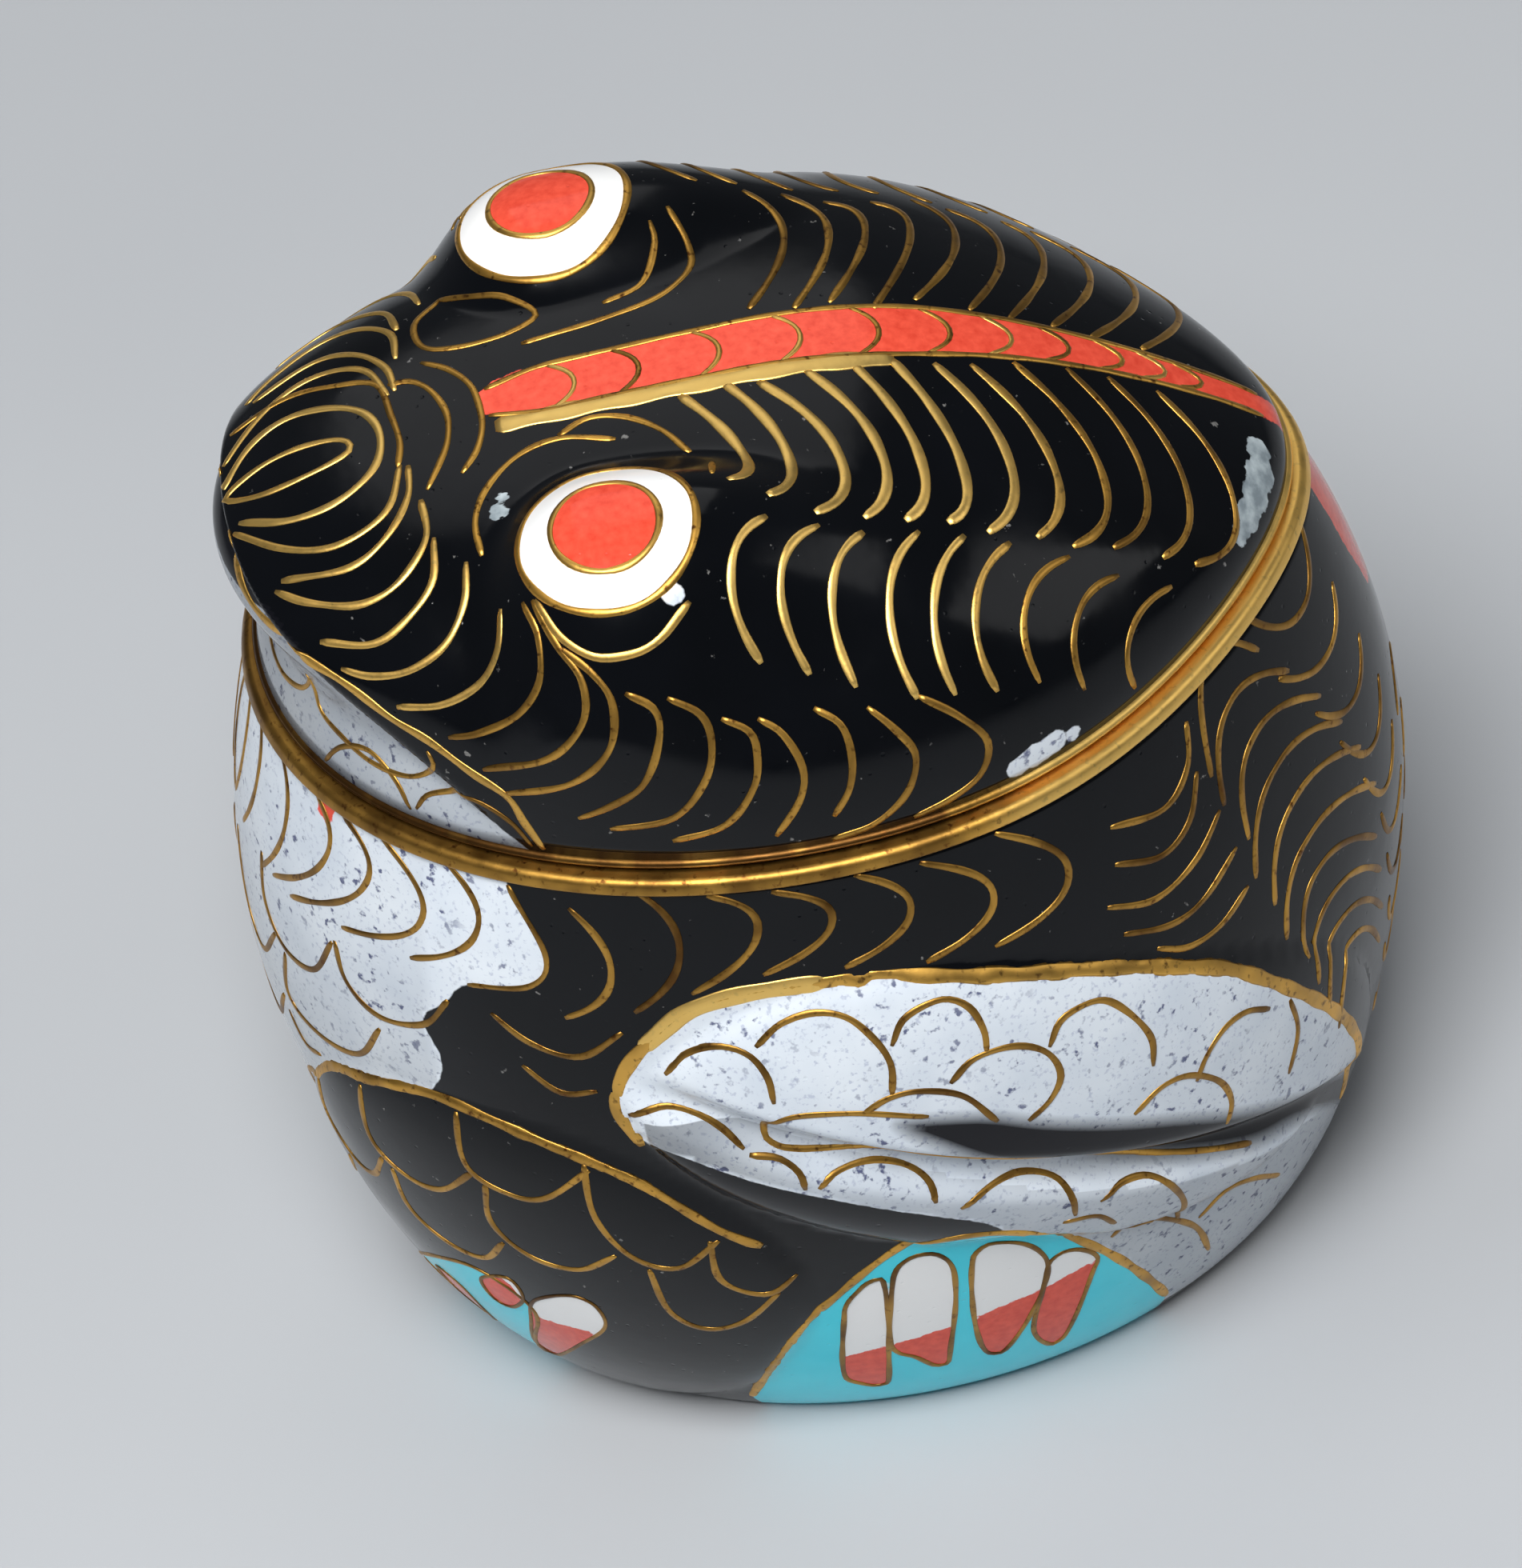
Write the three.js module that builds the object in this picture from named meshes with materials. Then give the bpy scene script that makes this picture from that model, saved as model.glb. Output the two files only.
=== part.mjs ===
// A frog-shaped cloisonné box: an enamelled copper bowl and a lid that lifts off, each
// edged with gilt brass. Millimetres, +Z up. The frog faces -Y, its left side is +X,
// and the origin is the centre of the flat underside.
import * as THREE from 'three'

// ---- Driving dimensions
const SEAM_HEIGHT = 44                  // top of the bowl's gilt band
const SEAM_HALF = { x: 21.7, y: 26.6 }  // half the plan at the seam
const BELLY_HALF = { x: 24.6, y: 30.2 } // half the plan at the widest
const BELLY_HEIGHT = 25.5
const FOOT_SHARE = 0.76                 // the foot's plan as a share of the widest plan
const FOOT_BEVEL = 0.7
const FOOT_ROUND = 0.8                  // height of the bevel round the underside
const REAR_TAPER = 0.22                 // how far the seam's plan narrows at the rear
const BOWL_WALL = 1.9
const FLOOR_THICKNESS = 2.2
const FLOOR_FILLET = 1.5
const PIECE_GAP = 0.3                   // between two pieces that meet

const BAND = { height: 0.85, proud: 0.25, bevel: 0.25 }  // gilt band round the bowl's mouth
const COLLAR = { inset: 2.9, thickness: 0.8, rise: 1.8 } // low ring that keeps the lid in place

const LID_INSET = 0.4                   // the lid's edge stands this far inside the band
const LID_EDGE = { height: 0.5, proud: 0.12 }           // gilt edge under the lid
const LID_WALL = 1.6
const LID_RISE = 14.2                   // top of the back above the seam
const REAR_FALL = 1.0                   // fall of the back 10 mm behind the middle
const FRONT_FALL = 1.2                  // fall of the head 21 mm in front of the middle
// The snout overhangs the seam: it starts this far in front of the middle and this far up,
// each with the length over which it grows, and it fades beyond this half width.
const SNOUT = { reach: 4.3, start: -9, grow: 16, foot: 4, rise: 7, half: 17 }
// The lid's section: powers of its roundness at the sides, and what the front adds.
const LID_ROUND = { out: 2.5, frontOut: 3.6, rearOut: -0.5, up: 2.3, frontUp: 0.7 }
// The mouth line on each side, and the step under it, which dies out towards the seam.
const LIP = { start: -13.7, slope: 0.86, step: 0.9, soft: 1.6, foot: 3.5, fade: 3 }
// The eye mounds, longer to the rear, which fade into the lid's wall over the foot.
const EYE = {
  x: 12.1, y: -7.8, top: 15.9, spread: 6.0, stretch: 0.5, lean: 0.2, sink: 4.0,
  blend: 2.2, foot: 5,
}

// Legs in low relief. "along" is measured on the belly from the frog's side, positive to
// the rear, and is the same on both sides.
const ALONG_PER_DEGREE = 0.4625
const HIND_LEG = { along: -5.5, height: 28.6, tilt: -30.7, stand: 1.5, groove: 1.8 }
const CREASE = { front: -8, rear: 33 }  // stretch of the crease between thigh and shank
const THIGH = { middle: 9, front: 15, rear: 31, depth: 12.2 }
const SHANK = { middle: 10, front: 17, rear: 24, depth: 6.4 }
const FORE_LEG = { along: -20.5, height: 14.5, length: 15, rise: 13.6, stand: 1.1 }
const HIND_FOOT = { along: 2, half: 13.5, height: 17.3 }
const FOOT_SOFT = 1.5

const BOWL_SEGMENTS = 96
const LID_SEGMENTS = 72

const QUARTER = Math.PI / 2
const { clamp, degToRad, lerp, radToDeg } = THREE.MathUtils
const smooth = t => {
  const s = clamp(t, 0, 1)
  return s * s * (3 - 2 * s)
}

// ---- Bowl
function planHalf(height, halfAxis) {
  const widest = BELLY_HALF[halfAxis]
  if (height < BELLY_HEIGHT) {
    const below = 1 - height / BELLY_HEIGHT
    const fullness = (1 - below ** 1.5) ** (1 / 1.6)
    return widest * (FOOT_SHARE + (1 - FOOT_SHARE) * fullness)
  }
  const above = (Math.min(height, SEAM_HEIGHT) - BELLY_HEIGHT) / (SEAM_HEIGHT - BELLY_HEIGHT)
  return widest + (SEAM_HALF[halfAxis] - widest) * above ** 2
}

function rearNarrowing(angle, share) {
  const rear = Math.sin(angle)
  return 1 - REAR_TAPER * smooth(rear) * rear ** 2 * share
}

const pillow = reach => Math.sqrt(Math.max(1 - reach ** 2, 0))

function alongSide(angle) {
  const side = Math.atan2(Math.sin(angle), Math.abs(Math.cos(angle)))
  return ALONG_PER_DEGREE * radToDeg(side)
}

function creaseHeight(angle) {
  const along = clamp(alongSide(angle), CREASE.front, CREASE.rear)
  return HIND_LEG.height + (along - HIND_LEG.along) * Math.tan(degToRad(HIND_LEG.tilt))
}

function legRelief(angle, height) {
  const along = alongSide(angle)
  const tilt = degToRad(HIND_LEG.tilt)
  const right = along - HIND_LEG.along
  const up = height - HIND_LEG.height
  const down = right * Math.cos(tilt) + up * Math.sin(tilt)
  const across = up * Math.cos(tilt) - right * Math.sin(tilt)
  const limb = (part, edge) => {
    const length = down < part.middle ? part.front : part.rear
    const reach = Math.hypot((down - part.middle) / length, across / part.depth)
    return pillow(reach) * smooth(edge * across / HIND_LEG.groove)
  }
  const hind = HIND_LEG.stand * Math.max(limb(THIGH, 1), limb(SHANK, -1))
  const fore = FORE_LEG.stand * pillow(Math.hypot(
    (along - FORE_LEG.along) / FORE_LEG.length, (height - FORE_LEG.height) / FORE_LEG.rise))
  const arch = HIND_FOOT.height * (1 - ((along - HIND_FOOT.along) / HIND_FOOT.half) ** 2)
  return Math.max(hind, fore) * (1 - smooth((arch - height) / FOOT_SOFT + 0.5))
}

// A point of the bowl's wall, moved out along the plan's own normal.
function wallPoint(angle, height, out) {
  const halfX = planHalf(height, 'x')
  const halfY = planHalf(height, 'y')
  const normal = new THREE.Vector2(Math.cos(angle) / halfX, Math.sin(angle) / halfY).normalize()
  const narrowing = rearNarrowing(angle, Math.min(height / SEAM_HEIGHT, 1))
  return new THREE.Vector3(
    halfX * Math.cos(angle) * narrowing + out * normal.x,
    halfY * Math.sin(angle) + out * normal.y,
    height)
}

// ---- Lid
const crown = y => y > 0
  ? LID_RISE - REAR_FALL * (y / 10) ** 2.13
  : LID_RISE - FRONT_FALL * (-y / 21) ** 3

// A point of the lid at an angle round it and a rise from 0 at its edge to a quarter turn
// at its top, on the surface that lies inset inside the outer one.
function lidPoint(angle, rise, inset, base) {
  const front = Math.max(-Math.sin(angle), 0)
  const rear = Math.max(Math.sin(angle), 0)
  const outPower = LID_ROUND.out + LID_ROUND.frontOut * front ** 3 + LID_ROUND.rearOut * rear
  const out = Math.cos(rise) ** (2 / outPower)
  const up = Math.sin(rise) ** (2 / (LID_ROUND.up + LID_ROUND.frontUp * front ** 2))
  const halfX = SEAM_HALF.x - LID_INSET - inset
  const halfY = SEAM_HALF.y - LID_INSET - inset
  let x = halfX * Math.cos(angle) * out * rearNarrowing(angle, 1)
  let y = halfY * Math.sin(angle) * out
  const top = crown(y) - inset
  let z = base + up * (top - base)

  const snout = smooth((SNOUT.start - y) / SNOUT.grow) * Math.exp(-((x / SNOUT.half) ** 4))
    * smooth((z - SNOUT.foot) / SNOUT.rise)
  y -= SNOUT.reach * snout

  const mouth = LIP.slope * (LIP.start - y) - z
  const recess = LIP.step * smooth(mouth / LIP.soft + 0.5)
    * smooth((LIP.start - y) / LIP.fade) * smooth((z - base) / LIP.foot)
  const normal = new THREE.Vector2(Math.cos(angle) / halfX, Math.sin(angle) / halfY).normalize()
  x -= recess * normal.x
  y -= recess * normal.y

  const sideways = Math.abs(x) - EYE.x
  const lengthways = (y - EYE.y) * (y > EYE.y ? EYE.stretch : 1)
  const away = Math.hypot(sideways, lengthways) / EYE.spread
  const eye = EYE.top - inset - EYE.lean * sideways - EYE.sink * away ** 2.5
  const share = clamp(0.5 + 0.5 * (eye - z) / EYE.blend, 0, 1)
  const lift = share * (eye - z) + EYE.blend * share * (1 - share)
  z += lift * smooth((z - base) / EYE.foot)
  return new THREE.Vector3(x, y, SEAM_HEIGHT + z)
}

// ---- Bodies
// A closed body over rows of points. A row is a whole ring or one point at a pole, and
// rows that have no poles close on themselves.
function closedBody(rows, segments) {
  const starts = []
  let count = 0
  for (const row of rows) {
    starts.push(count)
    count += row.length
  }
  const corner = (row, k) => starts[row] + k % rows[row].length
  const capped = rows[0].length === 1
  const faces = []
  for (let row = 0; row < rows.length - (capped ? 1 : 0); row++) {
    const next = (row + 1) % rows.length
    for (let k = 0; k < segments; k++) {
      const [a, b] = [corner(row, k), corner(row, k + 1)]
      const [c, d] = [corner(next, k + 1), corner(next, k)]
      if (a !== b) faces.push(a, b, c)
      if (c !== d) faces.push(a, c, d)
    }
  }
  const geometry = new THREE.BufferGeometry().setFromPoints(rows.flat())
  geometry.setIndex(faces)
  geometry.computeVertexNormals()
  return geometry
}

const ring = (segments, point) =>
  Array.from({ length: segments }, (_, k) => point(2 * Math.PI * k / segments))

function bowlBody() {
  const top = SEAM_HEIGHT - BAND.height - PIECE_GAP
  // The outer rows follow the crease: shares of the wall below it, a few rows across it,
  // then shares of the wall above it.
  const below = [0, 0.22, 0.44, 0.65, 0.84, 1].map(share => crease =>
    lerp(FOOT_ROUND, crease - HIND_LEG.groove, share))
  const across = [-0.8, 0, 0.8].map(step => crease => crease + step)
  const above = [0, 0.13, 0.27, 0.42, 0.57, 0.72, 0.86, 1].map(share => crease =>
    lerp(crease + HIND_LEG.groove, top, share))
  const outer = [...below, ...across, ...above].map(rowHeight =>
    ring(BOWL_SEGMENTS, angle => {
      const height = rowHeight(creaseHeight(angle))
      return wallPoint(angle, height, legRelief(angle, height))
    }))
  const innerHeights = [top, 34, 26, 16, 8, FLOOR_THICKNESS + FLOOR_FILLET]
  const inner = innerHeights.map(height => ring(BOWL_SEGMENTS, angle =>
    wallPoint(angle, height, -BOWL_WALL)))
  const footRing = ring(BOWL_SEGMENTS, angle => wallPoint(angle, 0, -FOOT_BEVEL))
  const floorRing = ring(BOWL_SEGMENTS, angle =>
    wallPoint(angle, FLOOR_THICKNESS, -BOWL_WALL - FLOOR_FILLET))
  return closedBody([
    [new THREE.Vector3(0, 0, 0)], footRing, ...outer,
    ...inner, floorRing, [new THREE.Vector3(0, 0, FLOOR_THICKNESS)],
  ], BOWL_SEGMENTS)
}

function bowlRimBody() {
  const low = SEAM_HEIGHT - BAND.height
  const inside = -COLLAR.inset - COLLAR.thickness
  const section = [
    [BAND.proud, low],
    [BAND.proud, SEAM_HEIGHT - BAND.bevel],
    [BAND.proud - BAND.bevel, SEAM_HEIGHT],
    [-COLLAR.inset, SEAM_HEIGHT],
    [-COLLAR.inset, SEAM_HEIGHT + COLLAR.rise],
    [inside, SEAM_HEIGHT + COLLAR.rise],
    [inside, low],
  ]
  return closedBody(section.map(([out, height]) =>
    ring(LID_SEGMENTS, angle => wallPoint(angle, height, out))), LID_SEGMENTS)
}

function lidBody() {
  const base = 2 * PIECE_GAP + LID_EDGE.height
  const outerRises = Array.from({ length: 15 }, (_, k) => QUARTER * (k / 15) ** 0.9)
  const innerRises = Array.from({ length: 9 }, (_, k) => QUARTER * ((8 - k) / 9) ** 0.9)
  const outer = outerRises.map(rise =>
    ring(LID_SEGMENTS, angle => lidPoint(angle, rise, 0, base)))
  const inner = innerRises.map(rise =>
    ring(LID_SEGMENTS, angle => lidPoint(angle, rise, LID_WALL, base)))
  const outerTop = lidPoint(0, QUARTER, 0, base)
  const innerTop = lidPoint(0, QUARTER, LID_WALL, base)
  // The rows run down the inside and up the outside, so that the faces point out.
  return closedBody([[innerTop], ...inner, ...outer, [outerTop]], LID_SEGMENTS)
}

function lidRimBody() {
  const low = PIECE_GAP
  const high = low + LID_EDGE.height
  const section = [
    [LID_EDGE.proud, low],
    [LID_EDGE.proud, high],
    [-LID_WALL, high],
    [-LID_WALL, low],
  ]
  return closedBody(section.map(([out, height]) =>
    ring(LID_SEGMENTS, angle => lidPoint(angle, 0, -out, height))), LID_SEGMENTS)
}

// ---- Materials and scene graph
const enamel = () => new THREE.MeshStandardMaterial({ color: '#14151c', roughness: 0.12 })
const gilt = () => new THREE.MeshStandardMaterial({
  color: '#c8973f', roughness: 0.3, metalness: 1,
})

function piece(name, geometry, material) {
  const mesh = new THREE.Mesh(geometry, material)
  mesh.name = name
  return mesh
}

const box = new THREE.Group()
box.add(
  piece('bowl', bowlBody(), enamel()),
  piece('bowl_rim', bowlRimBody(), gilt()),
  piece('lid', lidBody(), enamel()),
  piece('lid_rim', lidRimBody(), gilt()),
)

export default box
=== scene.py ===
"""A frog-shaped cloisonne box: enamelled copper bowl and lift-off lid, edged with gilt brass.

Lengths are in millimetres until a mesh is made, +Z up. The frog faces -Y and its left side
is +X. "along" is measured round the belly from the frog's side, positive to the rear.
"""
import math

import bpy
import numpy as np
from mathutils import Matrix, Vector
from mathutils.bvhtree import BVHTree


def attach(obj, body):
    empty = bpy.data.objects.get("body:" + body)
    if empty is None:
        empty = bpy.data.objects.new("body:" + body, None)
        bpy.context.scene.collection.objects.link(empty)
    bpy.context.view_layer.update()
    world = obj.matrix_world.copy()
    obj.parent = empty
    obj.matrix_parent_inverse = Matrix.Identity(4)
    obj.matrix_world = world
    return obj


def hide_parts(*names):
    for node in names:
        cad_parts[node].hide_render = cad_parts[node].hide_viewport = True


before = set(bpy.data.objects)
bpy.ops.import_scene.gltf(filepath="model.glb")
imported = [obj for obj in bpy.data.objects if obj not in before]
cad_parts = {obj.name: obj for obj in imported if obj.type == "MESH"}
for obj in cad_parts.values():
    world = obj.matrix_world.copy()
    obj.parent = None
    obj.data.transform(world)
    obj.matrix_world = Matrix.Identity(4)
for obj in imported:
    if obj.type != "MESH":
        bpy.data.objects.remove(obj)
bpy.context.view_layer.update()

MM = 0.001
chance = np.random.default_rng(7)

# ---- Dimensions, the same as the solids
SEAM = 44.0
SEAM_HALF = (21.7, 26.6)
BELLY_HALF = (24.6, 30.2)
BELLY_HEIGHT = 25.5
FOOT_SHARE = 0.76
FOOT_BEVEL = 0.7
FOOT_ROUND = 0.8
REAR_TAPER = 0.22
BOWL_WALL = 1.9
FLOOR_THICKNESS = 2.2
FLOOR_FILLET = 1.5
BAND_HEIGHT = 0.85
BAND_PROUD = 0.25
COLLAR_INSET = 2.9
COLLAR_THICKNESS = 0.8
COLLAR_RISE = 1.8
PIECE_GAP = 0.3
LID_INSET = 0.4
LID_EDGE = 0.5
LID_EDGE_PROUD = 0.12
LID_WALL = 1.6
LID_RISE = 14.2
REAR_FALL = 1.0
REAR_STATION = 10
FRONT_FALL = 1.2
FRONT_STATION = 21
# How square the lid is in plan and in section, and what its front and rear add to that.
LID_SQUARE = 2.5
LID_SQUARE_FRONT = 3.6
LID_SQUARE_REAR = -0.5
LID_SHOULDER = 2.3
LID_SHOULDER_FRONT = 0.7
SNOUT_REACH = 4.3
SNOUT_START = -9
SNOUT_GROW = 16
SNOUT_HALF = 17
SNOUT_FOOT = 4
SNOUT_RISE = 7
LIP_START = -13.7
LIP_SLOPE = 0.86
LIP_STEP = 0.9
LIP_SOFT = 1.6
LIP_FADE = 3
LIP_FOOT = 3.5
EYE_X = 12.1
EYE_Y = -7.8
EYE_TOP = 15.9
EYE_SPREAD = 6.0
EYE_STRETCH = 0.5
EYE_LEAN = 0.2
EYE_SINK = 4.0
EYE_BLEND = 2.2
EYE_FOOT = 5
EYE_MIDDLE = (EYE_X - 0.3, EYE_Y + 0.1)
EYE_RING = 4.4
PUPIL_RING = 2.65
ALONG_PER_DEGREE = 0.4625
MIDLINE = 90 * ALONG_PER_DEGREE
# The enamel lies this far inside the solids, so that the wires on it stay within them.
SKIN = 0.15
# What a colour field holds where its colour can't come.
NOWHERE = -9.0


def smooth(t):
    t = np.clip(t, 0, 1)
    return t * t * (3 - 2 * t)


# ---- The bowl's surface
def plan_half(height, axis):
    """Half the bowl's width (axis 0) or length (axis 1) at a height."""
    widest = BELLY_HALF[axis]
    below = np.clip(1 - height / BELLY_HEIGHT, 0, 1)
    low = widest * (FOOT_SHARE + (1 - FOOT_SHARE) * (1 - below**1.5) ** (1 / 1.6))
    above = (np.minimum(height, SEAM) - BELLY_HEIGHT) / (SEAM - BELLY_HEIGHT)
    return np.where(height < BELLY_HEIGHT, low, widest + (SEAM_HALF[axis] - widest) * above**2)


def rear_narrowing(angle, share):
    rear = np.sin(angle)
    return 1 - REAR_TAPER * smooth(rear) * rear**2 * share


def along_side(angle):
    """Millimetres round the belly from the frog's side, the same on both sides."""
    return ALONG_PER_DEGREE * np.degrees(np.arctan2(np.sin(angle), np.abs(np.cos(angle))))


def pillow(reach):
    """A rounded swelling: 1 in the middle and 0 at its edge."""
    return np.sqrt(np.maximum(1 - reach**2, 0))


# The crease between thigh and shank slopes down to the rear through one place on the side.
LEG_ALONG = -5.5
LEG_HEIGHT = 28.6
LEG_STAND = 1.5
TILT = math.radians(-30.7)
GROOVE = 1.8
CREASE_FRONT = -8
CREASE_REAR = 33
# Where each limb is fullest along the crease, its reach before and behind that, and its depth.
THIGH = (9, 15, 31, 12.2)
SHANK = (10, 17, 24, 6.4)
FORE_ALONG = -20.5
FORE_HEIGHT = 14.5
FORE_HALF = (15, 13.6)
FORE_STAND = 1.1
# The arch of the hind foot, which is flush with the belly.
ARCH_ALONG = 2
ARCH_HALF = 13.5
ARCH_HEIGHT = 17.3
ARCH_SOFT = 1.5


def crease_height(angle):
    along = np.clip(along_side(angle), CREASE_FRONT, CREASE_REAR)
    return LEG_HEIGHT + (along - LEG_ALONG) * math.tan(TILT)


def leg_relief(angle, height):
    """How far the legs stand out from the belly."""
    along = along_side(angle)
    right = along - LEG_ALONG
    up = height - LEG_HEIGHT
    down = right * math.cos(TILT) + up * math.sin(TILT)
    across = up * math.cos(TILT) - right * math.sin(TILT)

    def limb(middle, front, rear, depth, side):
        length = np.where(down < middle, front, rear)
        return pillow(np.hypot((down - middle) / length, across / depth)) * smooth(side * across / GROOVE)

    hind = LEG_STAND * np.maximum(limb(*THIGH, 1), limb(*SHANK, -1))
    reach = np.hypot((along - FORE_ALONG) / FORE_HALF[0], (height - FORE_HEIGHT) / FORE_HALF[1])
    fore = FORE_STAND * pillow(reach)
    arch = ARCH_HEIGHT * (1 - ((along - ARCH_ALONG) / ARCH_HALF) ** 2)
    return np.maximum(hind, fore) * (1 - smooth((arch - height) / ARCH_SOFT + 0.5))


def wall_point(angle, height, out):
    """A point of the bowl's wall, moved out from it."""
    half_x = plan_half(height, 0)
    half_y = plan_half(height, 1)
    normal_x = np.cos(angle) / half_x
    normal_y = np.sin(angle) / half_y
    length = np.hypot(normal_x, normal_y)
    narrowing = rear_narrowing(angle, np.minimum(height / SEAM, 1))
    x = half_x * np.cos(angle) * narrowing + out * normal_x / length
    y = half_y * np.sin(angle) + out * normal_y / length
    return np.stack([x, y, height + 0 * x], -1)


# ---- The lid's surface
def crown(y):
    """Height of the lid's ridge above the seam."""
    behind = LID_RISE - REAR_FALL * (np.maximum(y, 0) / REAR_STATION) ** 2.13
    ahead = LID_RISE - FRONT_FALL * (np.maximum(-y, 0) / FRONT_STATION) ** 3
    return np.where(y > 0, behind, ahead)


def lid_point(angle, rise, inset, base):
    """A point of the lid, and how far it lies below the mouth line."""
    front = np.maximum(-np.sin(angle), 0)
    rear = np.maximum(np.sin(angle), 0)
    out = np.cos(rise) ** (2 / (LID_SQUARE + LID_SQUARE_FRONT * front**3 + LID_SQUARE_REAR * rear))
    up = np.sin(rise) ** (2 / (LID_SHOULDER + LID_SHOULDER_FRONT * front**2))
    half_x = SEAM_HALF[0] - LID_INSET - inset
    half_y = SEAM_HALF[1] - LID_INSET - inset
    x = half_x * np.cos(angle) * out * rear_narrowing(angle, 1)
    y = half_y * np.sin(angle) * out
    z = base + up * (crown(y) - inset - base)
    snout = smooth((SNOUT_START - y) / SNOUT_GROW) * np.exp(-((x / SNOUT_HALF) ** 4))
    y = y - SNOUT_REACH * snout * smooth((z - SNOUT_FOOT) / SNOUT_RISE)
    mouth = LIP_SLOPE * (LIP_START - y) - z
    recess = LIP_STEP * smooth(mouth / LIP_SOFT + 0.5)
    recess = recess * smooth((LIP_START - y) / LIP_FADE) * smooth((z - base) / LIP_FOOT)
    normal_x = np.cos(angle) / half_x
    normal_y = np.sin(angle) / half_y
    length = np.hypot(normal_x, normal_y)
    x = x - recess * normal_x / length
    y = y - recess * normal_y / length
    sideways = np.abs(x) - EYE_X
    lengthways = (y - EYE_Y) * np.where(y > EYE_Y, EYE_STRETCH, 1)
    away = np.hypot(sideways, lengthways) / EYE_SPREAD
    eye = EYE_TOP - inset - EYE_LEAN * sideways - EYE_SINK * away**2.5
    share = np.clip(0.5 + 0.5 * (eye - z) / EYE_BLEND, 0, 1)
    z = z + (share * (eye - z) + EYE_BLEND * share * (1 - share)) * smooth((z - base) / EYE_FOOT)
    return np.stack([x, y, SEAM + z], -1), mouth


# ---- Closed meshes over rings of points
def closed_body(rows):
    """Points and faces of a body over rings; a row of one point closes an end."""
    starts = np.cumsum([0] + [len(row) for row in rows])
    faces = []
    capped = len(rows[0]) == 1
    for k in range(len(rows) - (1 if capped else 0)):
        after = (k + 1) % len(rows)
        count = max(len(rows[k]), len(rows[after]))
        step = np.arange(count)
        a = starts[k] + step % len(rows[k])
        b = starts[k] + (step + 1) % len(rows[k])
        c = starts[after] + (step + 1) % len(rows[after])
        d = starts[after] + step % len(rows[after])
        if len(rows[k]) == 1:
            faces += np.stack([a, c, d], -1).tolist()
        elif len(rows[after]) == 1:
            faces += np.stack([a, b, c], -1).tolist()
        else:
            faces += np.stack([a, b, c, d], -1).tolist()
    return np.concatenate(rows), faces


def make_piece(name, points, faces, fields=None):
    """A piece of the box, with its colour fields kept on its points."""
    mesh = bpy.data.meshes.new(name)
    mesh.from_pydata((np.asarray(points) * MM).tolist(), [], faces)
    mesh.shade_smooth()
    for field_name, values in (fields or {}).items():
        attribute = mesh.attributes.new(field_name, "FLOAT", "POINT")
        attribute.data.foreach_set("value", np.asarray(values, np.float32))
    piece = bpy.data.objects.new(name, mesh)
    bpy.context.scene.collection.objects.link(piece)
    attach(piece, "root")
    return piece


def ring(count):
    return np.arange(count) * 2 * math.pi / count


# ---- Smooth lines through a few points
def curve(points, count, closed=False):
    """Points evenly placed on a smooth line through the given ones."""
    p = np.asarray(points, float)
    if closed:
        p = np.concatenate([p[-1:], p, p[:2]])
    else:
        p = np.concatenate([2 * p[:1] - p[1:2], p, 2 * p[-1:] - p[-2:-1]])
    pieces = []
    t = np.linspace(0, 1, 25)[:-1, None]
    for a, b, c, d in zip(p[:-3], p[1:-2], p[2:-1], p[3:]):
        pieces.append(
            0.5 * (2 * b + (c - a) * t + (2 * a - 5 * b + 4 * c - d) * t**2 + (3 * b - a - 3 * c + d) * t**3)
        )
    pieces.append(p[-2][None])
    fine = np.concatenate(pieces)
    run = np.r_[0, np.cumsum(np.linalg.norm(np.diff(fine, axis=0), axis=1))]
    at = np.linspace(0, run[-1], count)
    return np.stack([np.interp(at, run, fine[:, k]) for k in range(fine.shape[1])], -1)


def bow(start, belly, end):
    """A bowed line from start to end that reaches its belly halfway."""
    start, belly, end = (np.asarray(p, float) for p in (start, belly, end))
    s = np.linspace(-1, 1, 9)[:, None]
    return belly + (end - start) / 2 * s + ((start + end) / 2 - belly) * np.abs(s) ** 2.2


def row_of_bows(starts, bellies, ends, count):
    """Bows spaced evenly along three guide lines, each set by hand and so a little off."""
    guides = [curve(guide, count) for guide in (starts, bellies, ends)]
    bows = []
    for start, belly, end in zip(*guides):
        sway = chance.normal(0, 0.22, (3, 2))
        bows.append(bow(start + sway[0], belly + 0.6 * sway[1], end + sway[2]))
    return bows


def outline_field(along, height, outline):
    """Distance to a closed outline, positive inside it."""
    p = np.stack([along, height], -1)
    corners = np.asarray(outline, float)
    nearest = np.full(len(p), 1e9)
    inside = np.zeros(len(p), bool)
    for a, b in zip(corners, np.roll(corners, -1, 0)):
        edge = b - a
        share = np.clip(((p - a) @ edge) / max(edge @ edge, 1e-9), 0, 1)
        nearest = np.minimum(nearest, np.hypot(*(p - a - share[:, None] * edge).T))
        crosses = (a[1] > p[:, 1]) != (b[1] > p[:, 1])
        rise = edge[1] if abs(edge[1]) > 1e-9 else 1e-9
        inside ^= crosses & (p[:, 0] < a[0] + (p[:, 1] - a[1]) * edge[0] / rise)
    return np.where(inside, nearest, -nearest)


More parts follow.
